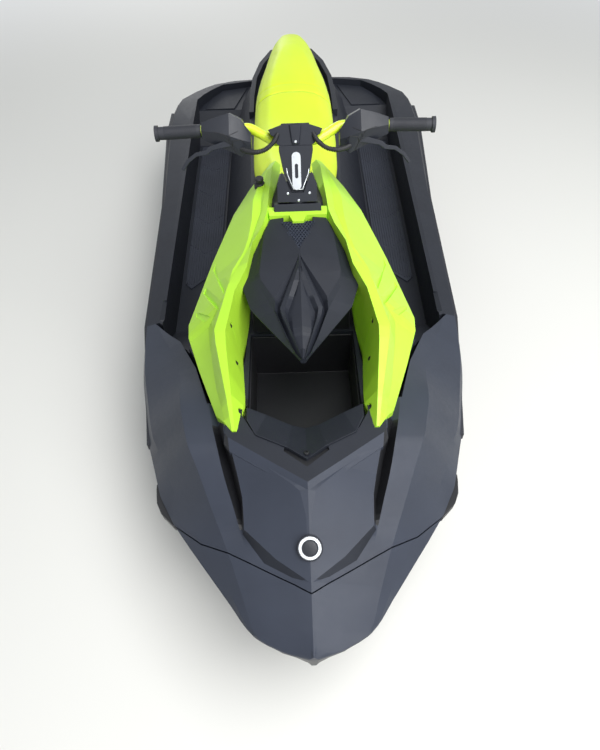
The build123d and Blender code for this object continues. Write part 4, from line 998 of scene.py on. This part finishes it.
def smooth_run(points, step):
    """Points every step metres along a smooth curve through the given ones."""
    far = [2 * points[0] - points[1], *points, 2 * points[-1] - points[-2]]
    fine = []
    for a, b, c, d in zip(far, far[1:], far[2:], far[3:]):
        for k in range(24):
            u = k / 24
            spot = 2 * b + (c - a) * u + (2 * a - 5 * b + 4 * c - d) * u * u
            spot += (3 * b - a - 3 * c + d) * u**3
            fine.append(0.5 * spot)
    fine.append(points[-1])
    out, left = [fine[0]], step
    for a, b in zip(fine, fine[1:]):
        long = (b - a).length
        done = 0
        while long - done >= left:
            done += left
            out.append(a.lerp(b, done / long))
            left = step
        left -= long - done
    return out


for side, name in ((1, "port"), (-1, "starboard")):
    run = smooth_run([col(side * x, aft, up) for x, aft, up in ROUTE], CONDUIT_STEP)
    hose = tube("conduit_" + name, run, lambda i: CONDUIT_R if i % 4 < 2 else 0.78 * CONDUIT_R, 14)
    place(hose, DARK_PLASTIC_AND_SHADE, "bars", "control_plastic", ["conduits"] if side == 1 else [])

# Footwell mats

RIB, RIB_PITCH, RIB_HIGH, RIB_TAPER, RIB_SUNK = 4.2, 9.6, 3, 0.7, 0.4
RIB_COUNT, FIRST_RIB = 14, 312
RIB_MARGIN, RIB_BREAK = 12, 5
_, high = (v * 1000 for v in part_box("mats"))
MAT_TOP = high.z


def mat_front(x):
    """Distance aft of the mat's slanting front edge at x, in mm."""
    if x < 340:
        return 1500 - (x - 312) * 50 / 28
    return max(1450 - (x - 340) * 80 / 75, 1376)


bm = bmesh.new()
for side in (1, -1):
    for k in range(RIB_COUNT):
        x = FIRST_RIB + k * RIB_PITCH
        start = mat_front(x) + RIB_MARGIN
        stop = high.y + HALF - 10
        breaks = [1560 + 190 * j + 0.9 * abs(x - 375) for j in range(4)]
        ends = [start, *[b for b in breaks if b > start + 20], stop]
        for one, two in zip(ends, ends[1:]):
            foot = [(x - RIB / 2, -RIB_SUNK), (x + RIB / 2, -RIB_SUNK)]
            top = [(x + RIB / 2 - RIB_TAPER, RIB_HIGH), (x - RIB / 2 + RIB_TAPER, RIB_HIGH)]
            near, far = (
                [bm.verts.new(at(side * u, s, MAT_TOP + v)) for u, v in foot + top]
                for s in (one + RIB_BREAK, two - RIB_BREAK)
            )
            for i in range(4):
                bm.faces.new((near[i], near[(i + 1) % 4], far[(i + 1) % 4], far[i]))
            bm.faces.new(near)
            bm.faces.new(far)
bmesh.ops.recalc_face_normals(bm, faces=bm.faces)
ribs = from_bmesh("mat_ribs", bm)
place(ribs, MAT, "boat", "mat_rubber")


# Stage, light and camera


def flat_material(name, rgb, rough):
    mat = bpy.data.materials.new(name)
    mat.use_nodes = True
    bsdf = mat.node_tree.nodes["Principled BSDF"]
    bsdf.inputs["Base Color"].default_value = linear(rgb)
    bsdf.inputs["Roughness"].default_value = rough
    return mat


bm = bmesh.new()
bmesh.ops.create_grid(bm, x_segments=1, y_segments=1, size=40)
floor = from_bmesh("stage_floor", bm)
floor_paint = flat_material("stage_paint", (232, 231, 226), 0.85)
floor.data.materials.append(floor_paint)


def new_node(tree, kind, values=(), links=()):
    """Adds one node, sets its sockets and joins them to other nodes' outputs."""
    node = tree.nodes.new(kind)
    for socket, value in values:
        node.inputs[socket].default_value = value
    for socket, source in links:
        tree.links.new(source, node.inputs[socket])
    return node


def backdrop_rays(tree):
    """Output that is 1 for the rays that show the backdrop: camera, glossy and transmission."""
    path = new_node(tree, "ShaderNodeLightPath")
    total = path.outputs["Is Camera Ray"]
    for ray in ("Is Glossy Ray", "Is Transmission Ray"):
        step = new_node(tree, "ShaderNodeMath", links=[(0, total), (1, path.outputs[ray])])
        step.operation = "MAXIMUM"
        total = step.outputs["Value"]
    return total


# the floor fades into the backdrop far from the boat, and keeps its shadow near it
PALE = (0.8, 0.82, 0.84, 1)
FADE_FROM, FADE_TO = 2.6, 5.5  # metres from the middle of the boat
tree = floor_paint.node_tree
place_node = new_node(tree, "ShaderNodeNewGeometry")
reach = new_node(tree, "ShaderNodeVectorMath", links=[(0, place_node.outputs["Position"])])
reach.operation = "LENGTH"
fade_ends = (("From Min", FADE_FROM), ("From Max", FADE_TO))
fade = new_node(tree, "ShaderNodeMapRange", fade_ends, [("Value", reach.outputs["Value"])])
fade.interpolation_type = "SMOOTHSTEP"
far_off = new_node(tree, "ShaderNodeMath", links=[(0, fade.outputs["Result"]), (1, backdrop_rays(tree))])
far_off.operation = "MULTIPLY"
glow = new_node(tree, "ShaderNodeEmission", (("Color", PALE), ("Strength", 1.0)))
painted = tree.nodes["Principled BSDF"].outputs["BSDF"]
shaders = [("Fac", far_off.outputs["Value"]), (1, painted), (2, glow.outputs["Emission"])]
faded = new_node(tree, "ShaderNodeMixShader", links=shaders)
tree.links.new(faded.outputs["Shader"], tree.nodes["Material Output"].inputs["Surface"])


def area_light(name, where, aim, size, power):
    light = bpy.data.lights.new(name, "AREA")
    light.shape = "SQUARE"
    light.size = size
    light.energy = power
    obj = bpy.data.objects.new(name, light)
    bpy.context.scene.collection.objects.link(obj)
    obj.location = where
    obj.rotation_euler = (Vector(aim) - Vector(where)).to_track_quat("-Z", "Y").to_euler()


area_light("sky_light", (1.4, -1.8, 5.0), (0, 0, 0.4), 3.5, 270)
area_light("front_light", (2.4, -4.4, 2.8), (0, -0.4, 0.4), 2.0, 110)
area_light("back_light", (-1.2, 5.2, 1.5), (0, 1.0, 0.3), 1.6, 30)

world = bpy.data.worlds.new("studio")
bpy.context.scene.world = world
world.use_nodes = True
tree = world.node_tree
dim = tree.nodes["Background"]
dim.inputs["Color"].default_value = (0.86, 0.93, 1.0, 1)
dim.inputs["Strength"].default_value = 0.3
pale = new_node(tree, "ShaderNodeBackground", (("Color", PALE), ("Strength", 1.0)))
shaders = [("Fac", backdrop_rays(tree)), (1, dim.outputs["Background"]), (2, pale.outputs["Background"])]
either = new_node(tree, "ShaderNodeMixShader", links=shaders)
tree.links.new(either.outputs["Shader"], tree.nodes["World Output"].inputs["Surface"])

camera_data = bpy.data.cameras.new("camera")
camera_data.sensor_width = 36
camera_data.lens = camera_data.sensor_width * FOCUS / (2 * PHOTO_MIDDLE[1])
camera = bpy.data.objects.new("camera", camera_data)
bpy.context.scene.collection.objects.link(camera)
camera.matrix_world = Matrix.Translation(CAMERA_AT) @ LOOK.to_4x4()
bpy.context.scene.camera = camera
bpy.context.scene.view_settings.view_transform = "Standard"
